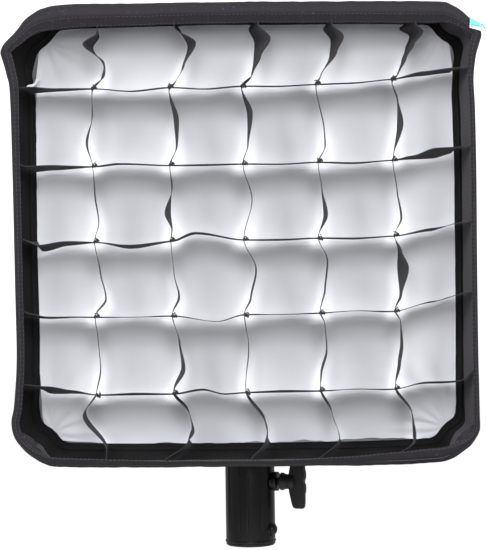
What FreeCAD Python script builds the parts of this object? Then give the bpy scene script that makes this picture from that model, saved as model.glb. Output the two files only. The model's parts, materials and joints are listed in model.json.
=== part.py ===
import FreeCAD, Part
import os
import Sketcher

# Square softbox with a fabric grid, its rear mounting frame and its tilting stand receiver.
# Millimetres. Z is up, the open front faces -Y, X is to the right seen from the front.
# The origin is the centre of the receiver's mouth, where the stand's stud goes in.
# "Forward" distances below are measured from the origin towards the front, along -Y.

doc = FreeCAD.newDocument("square_softbox")
dims = doc.addObject("Spreadsheet::Sheet", "dims")

DIMENSIONS = [
    # fabric box
    ("front_half", 230, "half the width of the front edge"),
    ("front_depth", 250, "front edge, forward of the origin"),
    ("hem_depth", 12, "depth of the stiff front hem"),
    ("hem_wall", 3, "thickness of the front hem"),
    ("shell_wall", 1.2, "outer fabric"),
    ("lining_wall", 0.5, "reflective lining"),
    ("skin_gap", 0.2, "space between one fabric layer and the next"),
    ("seam_gap", 0.5, "space between the ends of two fabric pieces"),
    ("cuff_reach", 14, "rear cuff, each way from the frame's middle"),
    ("cuff_wall", 2, "elastic rear cuff"),
    ("cuff_gap", 0.3, "space between the cuff and the frame"),
    ("cuff_slot_half", 36, "half the cuff's slot over the tilt bracket"),
    # diffuser
    ("diffuser_setback", 65, "diffuser, behind the front edge"),
    ("diffuser_wall", 0.5, "diffusion cloth"),
    ("diffuser_corner", 26, "cut corner that clears the rod"),
    ("edge_tape_depth", 16, "tape around the diffuser, turned forward"),
    ("tape_wall", 1, "thickness of every hook or loop tape"),
    # grid
    ("cell_pitch", 74.5, "from one grid strip to the next"),
    ("strip_depth", 50, "grid strip, front to back"),
    ("strip_setback", 5, "grid, behind the front edge"),
    ("strip_wall", 0.6, "thickness of a grid strip"),
    ("slot_clearance", 0.4, "slot wider than the strip in it"),
    ("border_depth", 35, "tape that the strips are sewn to"),
    ("knot_radius", 1.7, "thread knot at each crossing"),
    ("knot_length", 2, "thread knot, front to back"),
    # frame and rods
    ("frame_half", 165, "half the width of the rear frame"),
    ("frame_depth", 25, "rear frame, front to back"),
    ("rail_width", 20, "width of a frame tube"),
    ("rail_wall", 2, "wall of a frame tube"),
    ("plug_length", 12, "corner plug inside each tube"),
    ("plug_clearance", 0.1, "plug smaller than the tube's inside"),
    ("rod_radius", 2.5, "spring rod in each corner"),
    ("rod_inset", 9, "rod's axis, inside the box's outer corner"),
    ("rod_clearance", 0.05, "rod in its socket, on the radius"),
    ("rod_seat", 8, "rod inside the frame's front face"),
    ("boss_radius", 4.5, "socket boss around the rod"),
    ("boss_length", 14, "socket boss, forward of the frame"),
    ("tip_radius", 4, "cap on the rod's front end"),
    ("tip_length", 12, "cap on the rod's front end"),
    ("tip_gap", 2.5, "cap, behind the hem"),
    ("pocket_leg", 24, "corner pocket's side"),
    # small fasteners of the frame
    ("frame_screw_radius", 1.5, "screw that holds a plug in its tube"),
    ("frame_screw_length", 9, "the same screw, under its head"),
    ("frame_head_radius", 3, "the same screw's head"),
    ("frame_head_height", 1.8, "the same screw's head"),
    ("screw_clearance", 0.1, "hole larger than a screw, on the radius"),
    # lamp clips
    ("clip_length", 42, "lamp clip"),
    ("clip_width", 12, "lamp clip"),
    ("clip_wall", 3, "lamp clip"),
    ("clip_gap", 0.3, "space in front of and behind a clip"),
    ("clip_pivot_radius", 3, "shoulder of the clip's screw"),
    ("clip_head_radius", 5.5, "head of the clip's screw"),
    ("clip_head_height", 2.6, "head of the clip's screw"),
    ("clip_thread_radius", 2.5, "thread of the clip's screw"),
    ("clip_thread_length", 8, "thread of the clip's screw"),
    ("running_clearance", 0.05, "turning fit, on the radius"),
    # tilt joint
    ("pivot_drop", 30, "tilt axis below the rear frame"),
    ("knuckle_rise", 24, "tilt axis above the receiver body"),
    ("knuckle_half", 8, "half the receiver's knuckle"),
    ("knuckle_radius", 14, "rounded top of knuckle and ears"),
    ("ear_wall", 6, "ear of the tilt bracket"),
    ("base_wall", 6, "base of the tilt bracket"),
    ("base_half", 30, "half the bracket's base"),
    ("base_depth_half", 12, "half the bracket's depth"),
    ("base_screw_place", 24, "bracket screw, from the middle"),
    ("base_screw_radius", 2.5, "bracket screw"),
    ("base_screw_length", 12, "bracket screw, under its head"),
    ("base_head_radius", 4.5, "bracket screw's head"),
    ("base_head_height", 2.5, "bracket screw's head"),
    ("pivot_radius", 4, "pivot bolt"),
    ("pivot_head_radius", 6.5, "pivot bolt's head"),
    ("pivot_head_height", 5.5, "pivot bolt's head"),
    ("washer_wall", 1, "washers on the pivot bolt"),
    ("washer_gap", 0.05, "space beside each washer"),
    ("friction_washer_radius", 12, "washer between knuckle and ear"),
    ("plain_washer_radius", 8.5, "washer outside an ear"),
    ("lever_hub_radius", 9, "tilt lever's hub"),
    ("lever_gap", 5, "lever's arm, outside the receiver body"),
    ("lever_arm_length", 52, "tilt lever, axis to tip"),
    ("lever_arm_wall", 10, "tilt lever's arm along the axis"),
    ("lever_arm_half", 6, "half the arm's width at the hub"),
    ("lever_tip_radius", 7.5, "rounded tip of the arm"),
    # receiver
    ("bore_radius", 14.3, "socket for a 28.6 mm stand stud"),
    ("bore_depth", 90, "socket"),
    ("casting_radius", 27, "receiver body"),
    ("casting_height", 122, "receiver body"),
    ("mouth_bevel", 1.5, "bevel around the mouth"),
    ("shoulder_bevel", 6, "bevel around the top"),
    ("clamp_height", 70, "clamp screw above the mouth"),
    ("clamp_angle", 20, "clamp screw, turned towards the front"),
    ("clamp_boss_radius", 9, "boss around the clamp screw"),
    ("clamp_boss_length", 5.5, "boss, outside the receiver body"),
    ("clamp_ring_wall", 1.4, "ring around the boss"),
    ("clamp_ring_length", 5, "ring around the boss"),
    ("clamp_thread_radius", 4, "clamp screw"),
    ("clamp_travel", 3, "clamp screw's travel"),
    ("pad_radius", 6, "pressure pad"),
    ("pad_wall", 3, "pressure pad"),
    ("pad_setback", 0.7, "pad's face, outside the bore when open"),
    ("pad_clearance", 0.2, "pad in its pocket"),
    ("neck_length", 10, "conical neck of the handle"),
    ("neck_radius", 9, "neck next to the boss"),
    ("wing_neck_radius", 6.5, "neck next to the wing"),
    ("wing_span", 59, "handle, tip to tip"),
    ("wing_wall", 16, "handle, along the screw"),
    ("wing_thickness", 11, "handle, across the screw"),
    ("wing_tip_radius", 4, "rounded tips of the handle"),
    ("stop_screw_height", 18, "dome screw above the mouth"),
    ("stop_screw_angle", 30, "dome screw, turned towards the front"),
    ("stop_boss_radius", 7.5, "ring around the dome screw"),
    ("stop_boss_length", 1.5, "ring, outside the receiver body"),
    ("stop_head_radius", 6, "dome screw's head"),
    ("stop_head_height", 3.5, "dome screw's head"),
    ("stop_thread_radius", 3, "dome screw's thread"),
    ("stop_thread_length", 9, "dome screw's thread"),
    # small cloth parts
    ("tab_length", 9, "folded tab outside the hem"),
    ("tab_width", 11, "folded tab"),
    ("tab_wall", 2, "folded tab"),
    ("tab_drop", 21, "tab's middle below the top corner"),
    ("ribbon_length", 22, "pull ribbon behind the grid"),
    ("ribbon_width", 5, "pull ribbon"),
    ("ribbon_wall", 0.8, "pull ribbon"),
    ("ribbon_slope", 35, "pull ribbon, degrees"),
    ("ribbon_drop", 55, "pull ribbon below the top wall"),
    ("ribbon_inset", 12, "pull ribbon's end, inside the wall"),
]
STRIPS_EACH_WAY = 5

for row, (alias, size, note) in enumerate(DIMENSIONS, start=1):
    dims.set(f"A{row}", note)
    dims.set(f"B{row}", str(size))
    dims.setAlias(f"B{row}", alias)
doc.recompute()

PIVOT = "(dims.casting_height + dims.knuckle_rise)"
HEAD = f"({PIVOT} + dims.pivot_drop + dims.frame_half)"
CUFF_HALF = "(dims.frame_half + dims.cuff_gap + dims.cuff_wall)"
TAPER = f"((dims.front_half - {CUFF_HALF}) / (dims.front_depth - dims.cuff_reach))"
STRIP_FRONT = "(dims.front_depth - dims.strip_setback)"
STRIP_BACK = f"({STRIP_FRONT} - dims.strip_depth)"
DIFFUSER_PLACE = "(dims.front_depth - dims.diffuser_setback)"
LOOP_INSET = "(dims.shell_wall + dims.skin_gap)"
TAPE_INSET = f"(max({LOOP_INSET} + dims.tape_wall; dims.hem_wall) + dims.skin_gap)"
STRIP_INSET = f"({TAPE_INSET} + dims.tape_wall + dims.skin_gap)"
HEM_BACK = "(dims.front_depth - dims.hem_depth)"
FRAME_FRONT = "(dims.frame_depth / 2)"
RAIL_MIDDLE = "(dims.frame_half - dims.rail_width / 2)"
RAIL_HALF_LENGTH = "(dims.frame_half - dims.rail_width)"
CLIP_FRONT = f"({FRAME_FRONT} + dims.clip_gap)"
CLIP_BACK = f"({CLIP_FRONT} + dims.clip_wall)"
FRICTION_FACE = "(dims.knuckle_half + dims.washer_gap)"
EAR_FACE = f"({FRICTION_FACE} + dims.washer_wall + dims.washer_gap)"
EAR_OUTSIDE = f"({EAR_FACE} + dims.ear_wall)"
LEVER_FACE = f"({EAR_OUTSIDE} + dims.washer_wall + 2 * dims.washer_gap)"
LEVER_END = "(dims.casting_radius + dims.lever_gap + dims.lever_arm_wall)"
CLAMP_REACH = "(dims.casting_radius + dims.clamp_boss_length)"
STOP_REACH = "(dims.casting_radius + dims.stop_boss_length)"
PAD_PLACE = "(dims.bore_radius + dims.pad_setback)"
NECK_PLACE = f"({CLAMP_REACH} + dims.clamp_travel + dims.seam_gap)"
WING_PLACE = f"({NECK_PLACE} + dims.neck_length)"
SCREW_START = f"({PAD_PLACE} + dims.pad_wall + dims.washer_gap)"

SIDES = ("top", "bottom", "left", "right")
subparts = []


def number(expression):
    """The present value of an expression, as a float."""
    return float(FreeCAD.Units.Quantity(dims.evalExpression(expression)).Value)


def half_at(forward):
    """Half the box's outer width at a forward distance, as an expression."""
    return f"(dims.front_half - {TAPER} * (dims.front_depth - {forward}))"


def bind(thing, **sizes):
    for name, expression in sizes.items():
        thing.setExpression(name, expression)
    return thing


def subpart(thing, label):
    """Name a finished sub-part and list it for export."""
    thing.Label = label
    subparts.append(thing)
    return thing


def place(thing, x="0", y="0", z="0", axis="0; 0; 1", angle="0"):
    spin = f"rotation(vector({axis}); {angle})"
    thing.setExpression("Placement", f"placement(vector({x}; {y}; {z}); {spin})")
    return thing


def box(name, x_low, x_high, y_low, y_high, z_low, z_high):
    """A box between expression limits."""
    thing = doc.addObject("Part::Box", name)
    bind(thing, Length=f"({x_high}) - ({x_low})", Width=f"({y_high}) - ({y_low})")
    bind(thing, Height=f"({z_high}) - ({z_low})")
    return place(thing, x_low, y_low, z_low)


def cylinder(name, radius, length, x="0", y="0", z="0", axis="0; 0; 1", angle="0"):
    thing = doc.addObject("Part::Cylinder", name)
    bind(thing, Radius=radius, Height=length)
    return place(thing, x, y, z, axis, angle)


def along_x(name, radius, x_low, x_high, y, z):
    return cylinder(name, radius, f"({x_high}) - ({x_low})", x_low, y, z, "0; 1; 0", "90")


def along_y(name, radius, y_low, y_high, x, z):
    return cylinder(name, radius, f"({y_high}) - ({y_low})", x, y_low, z, "1; 0; 0", "-90")


def radial(name, radius, start, end, turn, z):
    """A cylinder that points outwards from the receiver's axis, turned towards the front."""
    x = f"cos({turn}) * ({start})"
    y = f"-sin({turn}) * ({start})"
    across = f"sin({turn}); cos({turn}); 0"
    return cylinder(name, radius, f"({end}) - ({start})", x, y, z, across, "90")


def cut(name, base, tool):
    thing = doc.addObject("Part::Cut", name)
    thing.Base = base
    thing.Tool = tool
    return thing


def fuse(name, pieces):
    thing = doc.addObject("Part::MultiFuse", name)
    thing.Shapes = pieces
    return thing


def group(name, pieces):
    thing = doc.addObject("Part::Compound", name)
    thing.Links = pieces
    return thing


def wedge(name, front, back, x_limits, z_limits):
    """A block between two forward distances; limits are functions of the box's half width."""
    thing = doc.addObject("Part::Wedge", name)
    at_front = half_at(front)
    at_back = half_at(back)
    bind(thing, Ymin=f"-({front})", Ymax=f"-({back})")
    bind(thing, Xmin=x_limits(at_front)[0], Xmax=x_limits(at_front)[1])
    bind(thing, X2min=x_limits(at_back)[0], X2max=x_limits(at_back)[1])
    bind(thing, Zmin=z_limits(at_front)[0], Zmax=z_limits(at_front)[1])
    bind(thing, Z2min=z_limits(at_back)[0], Z2max=z_limits(at_back)[1])
    bind(thing, **{"Placement.Base.z": HEAD})
    return thing


def wall(name, side, front, back, inset, thickness):
    """One of the four walls of a tapered layer; the side walls fit between top and bottom."""
    def across(half):
        return f"{half} - {inset} - {thickness}", f"{half} - {inset}"

    def across_far(half):
        return f"-{half} + {inset}", f"-{half} + {inset} + {thickness}"

    def full(half):
        return f"-{half} + {inset}", f"{half} - {inset}"

    def between(half):
        ends = f"({inset} + {thickness} + dims.skin_gap)"
        return f"-{half} + {ends}", f"{half} - {ends}"

    if side == "top":
        return wedge(name, front, back, full, across)
    if side == "bottom":
        return wedge(name, front, back, full, across_far)
    if side == "left":
        return wedge(name, front, back, across_far, between)
    return wedge(name, front, back, across, between)


def layer(label, front, back, inset, thickness):
    """All four walls of a layer, kept together as one node."""
    walls = [wall(f"{label}_{side}", side, front, back, inset, thickness) for side in SIDES]
    return subpart(group(f"{label}_group", walls), label)


def new_body(name):
    return doc.addObject("PartDesign::Body", name)


def sketch_on(body, role, name, offset="0"):
    """A sketch on one of a body's own origin planes, moved along the plane's normal."""
    plane = next(item for item in body.Origin.OriginFeatures if item.Role == role)
    sketch = body.newObject("Sketcher::SketchObject", name)
    sketch.AttachmentSupport = (plane, [""])
    sketch.MapMode = "FlatFace"
    shift = f"placement(vector(0; 0; {offset}); rotation(vector(0; 0; 1); 0))"
    sketch.setExpression("AttachmentOffset", shift)
    return sketch


def place_point(sketch, geometry, end, x, y):
    """Hold a point of a sketch at two expressions from the sketch's origin."""
    for kind, expression in (("DistanceX", x), ("DistanceY", y)):
        index = sketch.addConstraint(Sketcher.Constraint(kind, -1, 1, geometry, end, number(expression)))
        sketch.setExpression(f"Constraints[{index}]", expression)


def outline(sketch, points):
    """A closed outline of straight lines through points given as expressions."""
    at = [FreeCAD.Vector(number(x), number(y), 0) for x, y in points]
    first = sketch.GeometryCount
    count = len(points)
    for index in range(count):
        sketch.addGeometry(Part.LineSegment(at[index], at[(index + 1) % count]))
    for index in range(count):
        following = first + (index + 1) % count
        sketch.addConstraint(Sketcher.Constraint("Coincident", first + index, 2, following, 1))
    for index, (x, y) in enumerate(points):
        place_point(sketch, first + index, 1, x, y)


def ring(sketch, x, y, radius):
    """A circle given as expressions."""
    centre = FreeCAD.Vector(number(x), number(y), 0)
    index = sketch.addGeometry(Part.Circle(centre, FreeCAD.Vector(0, 0, 1), number(radius)))
    place_point(sketch, index, 3, x, y)
    held = sketch.addConstraint(Sketcher.Constraint("Radius", index, number(radius)))
    sketch.setExpression(f"Constraints[{held}]", radius)


def pad(body, name, sketch, length, both_ways=True):
    feature = body.newObject("PartDesign::Pad", name)
    feature.Profile = sketch
    feature.setExpression("Length", length)
    if both_ways:
        feature.Midplane = True
    return feature


# ---------------------------------------------------------------- fabric box

def make_shell():
    for side in SIDES:
        back = "(dims.cuff_reach + dims.seam_gap)"
        panel = wall(f"shell_panel_{side}", side, HEM_BACK, back, "0", "dims.shell_wall")
        subpart(panel, f"shell_{side}")
        hem = wall(f"hem_bar_{side}", side, "dims.front_depth", HEM_BACK, "0", "dims.hem_wall")
        subpart(hem, f"hem_{side}")


def make_lining():
    front = f"({DIFFUSER_PLACE} - dims.diffuser_wall)"
    back = "(dims.cuff_reach + dims.seam_gap)"
    layer("silver_lining", front, back, LOOP_INSET, "dims.lining_wall")


def make_tapes():
    """The wall's loop band, the diffuser's edge tape and the grid's border tape."""
    band_back = f"({DIFFUSER_PLACE} + dims.diffuser_wall + dims.skin_gap)"
    layer("loop_band", HEM_BACK, band_back, LOOP_INSET, "dims.tape_wall")
    tape_front = f"({band_back} + dims.edge_tape_depth)"
    layer("diffuser_edge_tape", tape_front, band_back, TAPE_INSET, "dims.tape_wall")
    border_back = f"({STRIP_FRONT} - dims.border_depth)"
    layer("grid_border", STRIP_FRONT, border_back, TAPE_INSET, "dims.tape_wall")


def make_diffuser():
    """A flat square of cloth with cut corners."""
    body = new_body("diffuser_body")
    sketch = sketch_on(body, "XZ_Plane", "diffuser_outline", DIFFUSER_PLACE)
    edge = f"({half_at(DIFFUSER_PLACE)} - {LOOP_INSET} - dims.skin_gap)"
    inner = f"({edge} - dims.diffuser_corner)"
    outline(sketch, [
        (f"-{inner}", f"-{edge}"), (inner, f"-{edge}"), (edge, f"-{inner}"), (edge, inner),
        (inner, edge), (f"-{inner}", edge), (f"-{edge}", inner), (f"-{edge}", f"-{inner}"),
    ])
    pad(body, "diffuser_cloth", sketch, "dims.diffuser_wall")
    bind(body, **{"Placement.Base.z": HEAD})
    subpart(body, "diffuser")


def strip_place(index):
    """Sideways place of a grid strip, counted from the middle strip."""
    return f"({index - STRIPS_EACH_WAY // 2} * dims.cell_pitch)"


def make_slots(name, upright, low, high):
    """Five slots that let the crossing strips pass, between two forward distances."""
    slots = []
    for index in range(STRIPS_EACH_WAY):
        middle = strip_place(index)
        width = "(dims.strip_wall + dims.slot_clearance) / 2"
        near = f"{middle} - {width}"
        far = f"{middle} + {width}"
        if upright:
            limits = (near, far, f"-({high})", f"-({low})", "-dims.front_half", "dims.front_half")
        else:
            limits = ("-dims.front_half", "dims.front_half", f"-({high})", f"-({low})", near, far)
        slot = box(f"{name}_{index + 1}", *limits)
        middle_z = f"{HEAD} + ({limits[4]})"
        place(slot, limits[0], limits[2], middle_z)
        slots.append(slot)
    return group(name, slots)


def make_grid_strips():
    """Crossing strips that slot halfway into each other; uprights are slotted from the front."""
    middle = f"({STRIP_FRONT} - dims.strip_depth / 2)"
    front_slots = make_slots("front_slots", False, middle, f"({STRIP_FRONT} + 1)")
    rear_slots = make_slots("rear_slots", True, f"({STRIP_BACK} - 1)", middle)

    def reach(half):
        return f"-{half} + {STRIP_INSET}", f"{half} - {STRIP_INSET}"

    for index in range(STRIPS_EACH_WAY):
        centre = strip_place(index)

        def thick(half, centre=centre):
            return f"{centre} - dims.strip_wall / 2", f"{centre} + dims.strip_wall / 2"

        upright = wedge(f"upright_blank_{index + 1}", STRIP_FRONT, STRIP_BACK, thick, reach)
        subpart(cut(f"upright_{index + 1}", upright, front_slots), f"grid_strip_v{index + 1}")
        level = wedge(f"level_blank_{index + 1}", STRIP_FRONT, STRIP_BACK, reach, thick)
        row = STRIPS_EACH_WAY - index
        subpart(cut(f"level_{index + 1}", level, rear_slots), f"grid_strip_h{row}")


def make_grid_knots():
    knots = []
    for column in range(STRIPS_EACH_WAY):
        for row in range(STRIPS_EACH_WAY):
            start = f"-({STRIP_FRONT} + dims.skin_gap + dims.knot_length)"
            end = f"-({STRIP_FRONT} + dims.skin_gap)"
            z = f"{HEAD} + {strip_place(row)}"
            name = f"knot_{column + 1}_{row + 1}"
            knots.append(along_y(name, "dims.knot_radius", start, end, strip_place(column), z))
    subpart(group("knots", knots), "grid_knots")


def make_cuff():
    """Elastic band around the rear frame, open where the tilt bracket passes."""
    low = "-dims.cuff_reach"
    high = "dims.cuff_reach"
    inner = "(dims.frame_half + dims.cuff_gap)"
    centre = HEAD
    outer = CUFF_HALF
    top = box("cuff_top", f"-{outer}", outer, low, high, f"{centre} + {inner}", f"{centre} + {outer}")
    pieces = [top]
    for name, sign in (("left", "-"), ("right", "")):
        near = f"{sign}{inner}" if sign == "" else f"-{outer}"
        far = f"{outer}" if sign == "" else f"-{inner}"
        z_low = f"{centre} - {inner}"
        z_high = f"{centre} + {inner}"
        pieces.append(box(f"cuff_{name}", near, far, low, high, z_low, z_high))
    z_low = f"{centre} - {outer}"
    z_high = f"{centre} - {inner}"
    slot = "dims.cuff_slot_half"
    pieces.append(box("cuff_bottom_left", f"-{outer}", f"-{slot}", low, high, z_low, z_high))
    pieces.append(box("cuff_bottom_right", slot, outer, low, high, z_low, z_high))
    subpart(group("cuff", pieces), "rear_cuff")


# ---------------------------------------------------------------- rods

CORNERS = [(1, 1, 1), (2, 1, -1), (3, -1, -1), (4, -1, 1)]


def corner_cylinder(name, radius, front, back, sign_x, sign_z):
    """A cylinder along one slanting corner of the box, between two forward distances."""
    start = f"({half_at(back)} - dims.rod_inset)"
    slant = f"sqrt(1 + 2 * {TAPER} * {TAPER})"
    length = f"(({front}) - ({back})) * {slant}"
    axis = f"1; {sign_x} * {TAPER}; 0"
    angle = f"acos({sign_z} * {TAPER} / {slant})"
    z = f"{HEAD} + {sign_z} * {start}"
    return cylinder(name, radius, length, f"{sign_x} * {start}", f"-({back})", z, axis, angle)


ROD_BACK = f"({FRAME_FRONT} - dims.rod_seat)"
TIP_FRONT = f"({HEM_BACK} - dims.tip_gap)"


def make_rods():
    caps = []
    for index, sign_x, sign_z in CORNERS:
        cap_back = f"({TIP_FRONT} - dims.tip_length)"
        rod = corner_cylinder(f"rod_{index}", "dims.rod_radius", cap_back, ROD_BACK, sign_x, sign_z)
        subpart(rod, f"corner_rod_{index}")
        caps.append(corner_cylinder(f"cap_{index}", "dims.tip_radius", TIP_FRONT, cap_back, sign_x, sign_z))
    subpart(group("caps", caps), "rod_tips")


def make_corner_pockets():
    """Three-cornered cloth pockets across the front corners, ahead of the rod tips."""
    pockets = []
    for index, sign_x, sign_z in CORNERS:
        body = new_body(f"pocket_{index}")
        back = f"({HEM_BACK} + dims.skin_gap)"
        sketch = sketch_on(body, "XZ_Plane", f"pocket_outline_{index}", back)
        corner = f"({half_at(HEM_BACK)} - {STRIP_INSET})"
        inner = f"({corner} - dims.pocket_leg)"
        outline(sketch, [
            (f"{sign_x} * {corner}", f"{sign_z} * {corner}"),
            (f"{sign_x} * {inner}", f"{sign_z} * {corner}"),
            (f"{sign_x} * {corner}", f"{sign_z} * {inner}"),
        ])
        pad(body, f"pocket_cloth_{index}", sketch, "dims.hem_depth - 2 * dims.seam_gap", False)
        bind(body, **{"Placement.Base.z": HEAD})
        pockets.append(body)
    subpart(group("pockets", pockets), "corner_pockets")


# ---------------------------------------------------------------- rear frame

def frame_screw_tools():
    """Holes for the plug screws, two at each corner, drilled from the rear face."""
    holes = []
    for index, x, z in frame_screw_places():
        start = f"{FRAME_FRONT} - dims.frame_screw_length - dims.screw_clearance"
        radius = "dims.frame_screw_radius + dims.screw_clearance"
        holes.append(along_y(f"plug_hole_{index}", radius, start, f"{FRAME_FRONT} + 1", x, z))
    return group("plug_holes", holes)


def frame_screw_places():
    near = f"({RAIL_HALF_LENGTH} - dims.plug_length / 2)"
    places = []
    for index, sign_x, sign_z in CORNERS:
        first = (f"{index}_level", f"{sign_x} * {near}", f"{HEAD} + {sign_z} * {RAIL_MIDDLE}")
        second = (f"{index}_upright", f"{sign_x} * {RAIL_MIDDLE}", f"{HEAD} + {sign_z} * {near}")
        places.extend((first, second))
    return places


def clip_places():
    """Name, x, z and the direction along the rail of each lamp clip's pivot."""
    middle = RAIL_MIDDLE
    return [
        ("top", "0", f"{HEAD} + {middle}", "0"),
        ("bottom", "0", f"{HEAD} - {middle}", "180"),
        ("left", f"-{middle}", HEAD, "270"),
        ("right", middle, HEAD, "90"),
    ]


def make_rails(plug_holes):
    """Four square tubes, with the clip holes, the plug-screw holes and the bracket's holes."""
    clip_holes = []
    for name, x, z, turn in clip_places():
        start = f"{FRAME_FRONT} - dims.clip_thread_length - dims.screw_clearance"
        radius = "dims.clip_thread_radius + dims.screw_clearance"
        clip_holes.append(along_y(f"clip_hole_{name}", radius, start, f"{FRAME_FRONT} + 1", x, z))
    bracket_holes = []
    for name, sign in (("left", -1), ("right", 1)):
        low = f"{HEAD} - dims.frame_half - 1"
        length = "dims.base_screw_length"
        radius = "dims.base_screw_radius + dims.screw_clearance"
        x = f"{sign} * dims.base_screw_place"
        bracket_holes.append(cylinder(f"bracket_hole_{name}", radius, length, x, "0", low))
    drill = group("rail_holes", [plug_holes] + clip_holes + bracket_holes)
    for side in SIDES:
        body = new_body(f"rail_body_{side}")
        level = side in ("top", "bottom")
        sketch = sketch_on(body, "YZ_Plane" if level else "XY_Plane", f"rail_section_{side}")
        middle = f"-{RAIL_MIDDLE}" if side in ("bottom", "left") else RAIL_MIDDLE
        for wall_size in ("0", "dims.rail_wall"):
            deep = f"({FRAME_FRONT} - {wall_size})"
            low = f"{middle} - dims.rail_width / 2 + {wall_size}"
            high = f"{middle} + dims.rail_width / 2 - {wall_size}"
            corners = [(f"-{deep}", low), (deep, low), (deep, high), (f"-{deep}", high)]
            if not level:
                corners = [(across, along) for along, across in corners]
            outline(sketch, corners)
        pad(body, f"rail_tube_{side}", sketch, f"2 * {RAIL_HALF_LENGTH}")
        bind(body, **{"Placement.Base.z": HEAD})
        subpart(cut(f"rail_{side}", body, drill), f"frame_rail_{side}")


def make_corner_sockets(plug_holes):
    """Corner blocks with a plug into each tube and a slanting socket for the rod."""
    for index, sign_x, sign_z in CORNERS:
        inner = RAIL_HALF_LENGTH
        x_limits = (inner, "dims.frame_half") if sign_x > 0 else ("-dims.frame_half", f"-{inner}")
        z_limits = (inner, "dims.frame_half") if sign_z > 0 else ("-dims.frame_half", f"-{inner}")
        z_lifted = tuple(f"{HEAD} + ({limit})" for limit in z_limits)
        deep = FRAME_FRONT
        block = box(f"block_{index}", x_limits[0], x_limits[1], f"-{deep}", deep, *z_lifted)
        shrink = "(dims.rail_wall + dims.plug_clearance)"
        plug_deep = f"({deep} - {shrink})"
        plug_end = f"({inner} - dims.plug_length)"
        x_plug = (plug_end, f"{inner} + 1") if sign_x > 0 else (f"-{inner} - 1", f"-{plug_end}")
        z_plug = (plug_end, f"{inner} + 1") if sign_z > 0 else (f"-{inner} - 1", f"-{plug_end}")
        z_plug = tuple(f"{HEAD} + ({limit})" for limit in z_plug)
        level = box(
            f"plug_level_{index}", x_plug[0], x_plug[1], f"-{plug_deep}", plug_deep,
            f"{z_lifted[0]} + {shrink}", f"{z_lifted[1]} - {shrink}",
        )
        upright = box(
            f"plug_upright_{index}", f"{x_limits[0]} + {shrink}", f"{x_limits[1]} - {shrink}",
            f"-{plug_deep}", plug_deep, z_plug[0], z_plug[1],
        )
        boss_front = f"({FRAME_FRONT} + dims.boss_length)"
        boss_back = f"({FRAME_FRONT} - dims.rod_seat / 2)"
        boss = corner_cylinder(f"boss_{index}", "dims.boss_radius", boss_front, boss_back, sign_x, sign_z)
        solid = fuse(f"socket_solid_{index}", [block, level, upright, boss])
        hole_radius = "dims.rod_radius + dims.rod_clearance"
        hole_front = f"{boss_front} + 2"
        rod_hole = corner_cylinder(
            f"rod_hole_{index}", hole_radius, hole_front, ROD_BACK, sign_x, sign_z,
        )
        drill = group(f"socket_holes_{index}", [rod_hole, plug_holes])
        subpart(cut(f"socket_{index}", solid, drill), f"corner_socket_{index}")


def make_frame_screws():
    screws = []
    for index, x, z in frame_screw_places():
        start = f"{FRAME_FRONT} - dims.frame_screw_length"
        shank = along_y(f"plug_shank_{index}", "dims.frame_screw_radius", start, f"{FRAME_FRONT} + 0.5", x, z)
        end = f"{FRAME_FRONT} + dims.frame_head_height"
        head = along_y(f"plug_head_{index}", "dims.frame_head_radius", FRAME_FRONT, end, x, z)
        screws.append(fuse(f"plug_screw_{index}", [shank, head]))
    subpart(group("plug_screws", screws), "frame_screws")


def make_clips():
    """Turning clips that lie along the rails when open and swing in over the lamp's edge."""
    screws = []
    for name, x, z, turn in clip_places():
        body = new_body(f"clip_body_{name}")
        sketch = sketch_on(body, "XZ_Plane", f"clip_outline_{name}")
        half = "dims.clip_width / 2"
        length = "dims.clip_length - dims.clip_width / 2"
        outline(sketch, [(f"-{half}", f"-{half}"), (length, f"-{half}"), (length, half), (f"-{half}", half)])
        ring(sketch, "0", "0", "dims.clip_pivot_radius + dims.running_clearance")
        plate = pad(body, f"clip_plate_{name}", sketch, "dims.clip_wall")
        doc.recompute()
        corners = [
            f"Edge{number_of + 1}" for number_of, edge in enumerate(plate.Shape.Edges)
            if len(edge.Vertexes) == 2 and abs(edge.tangentAt(edge.FirstParameter).y) > 0.99
            and abs(edge.Vertexes[0].X - edge.Vertexes[1].X) < 1e-6
        ]
        rounding = body.newObject("PartDesign::Fillet", f"clip_rounding_{name}")
        rounding.Base = (plate, corners)
        rounding.setExpression("Radius", "dims.clip_width / 2.4")
        place(body, x, f"({CLIP_FRONT} + {CLIP_BACK}) / 2", z, "0; 1; 0", turn)
        subpart(body, f"lamp_clip_{name}")
        start = f"{FRAME_FRONT} - dims.clip_thread_length"
        root = f"{FRAME_FRONT} + 0.2"
        thread = along_y(f"clip_thread_{name}", "dims.clip_thread_radius", start, root, x, z)
        seat = f"{CLIP_BACK} + dims.clip_gap"
        shoulder = along_y(f"clip_shoulder_{name}", "dims.clip_pivot_radius", FRAME_FRONT, seat, x, z)
        top = f"{seat} + dims.clip_head_height"
        head = along_y(f"clip_head_{name}", "dims.clip_head_radius", seat, top, x, z)
        screws.append(fuse(f"clip_screw_{name}", [thread, shoulder, head]))
    subpart(group("clip_screws", screws), "clip_screws")


# ---------------------------------------------------------------- tilt joint

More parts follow.
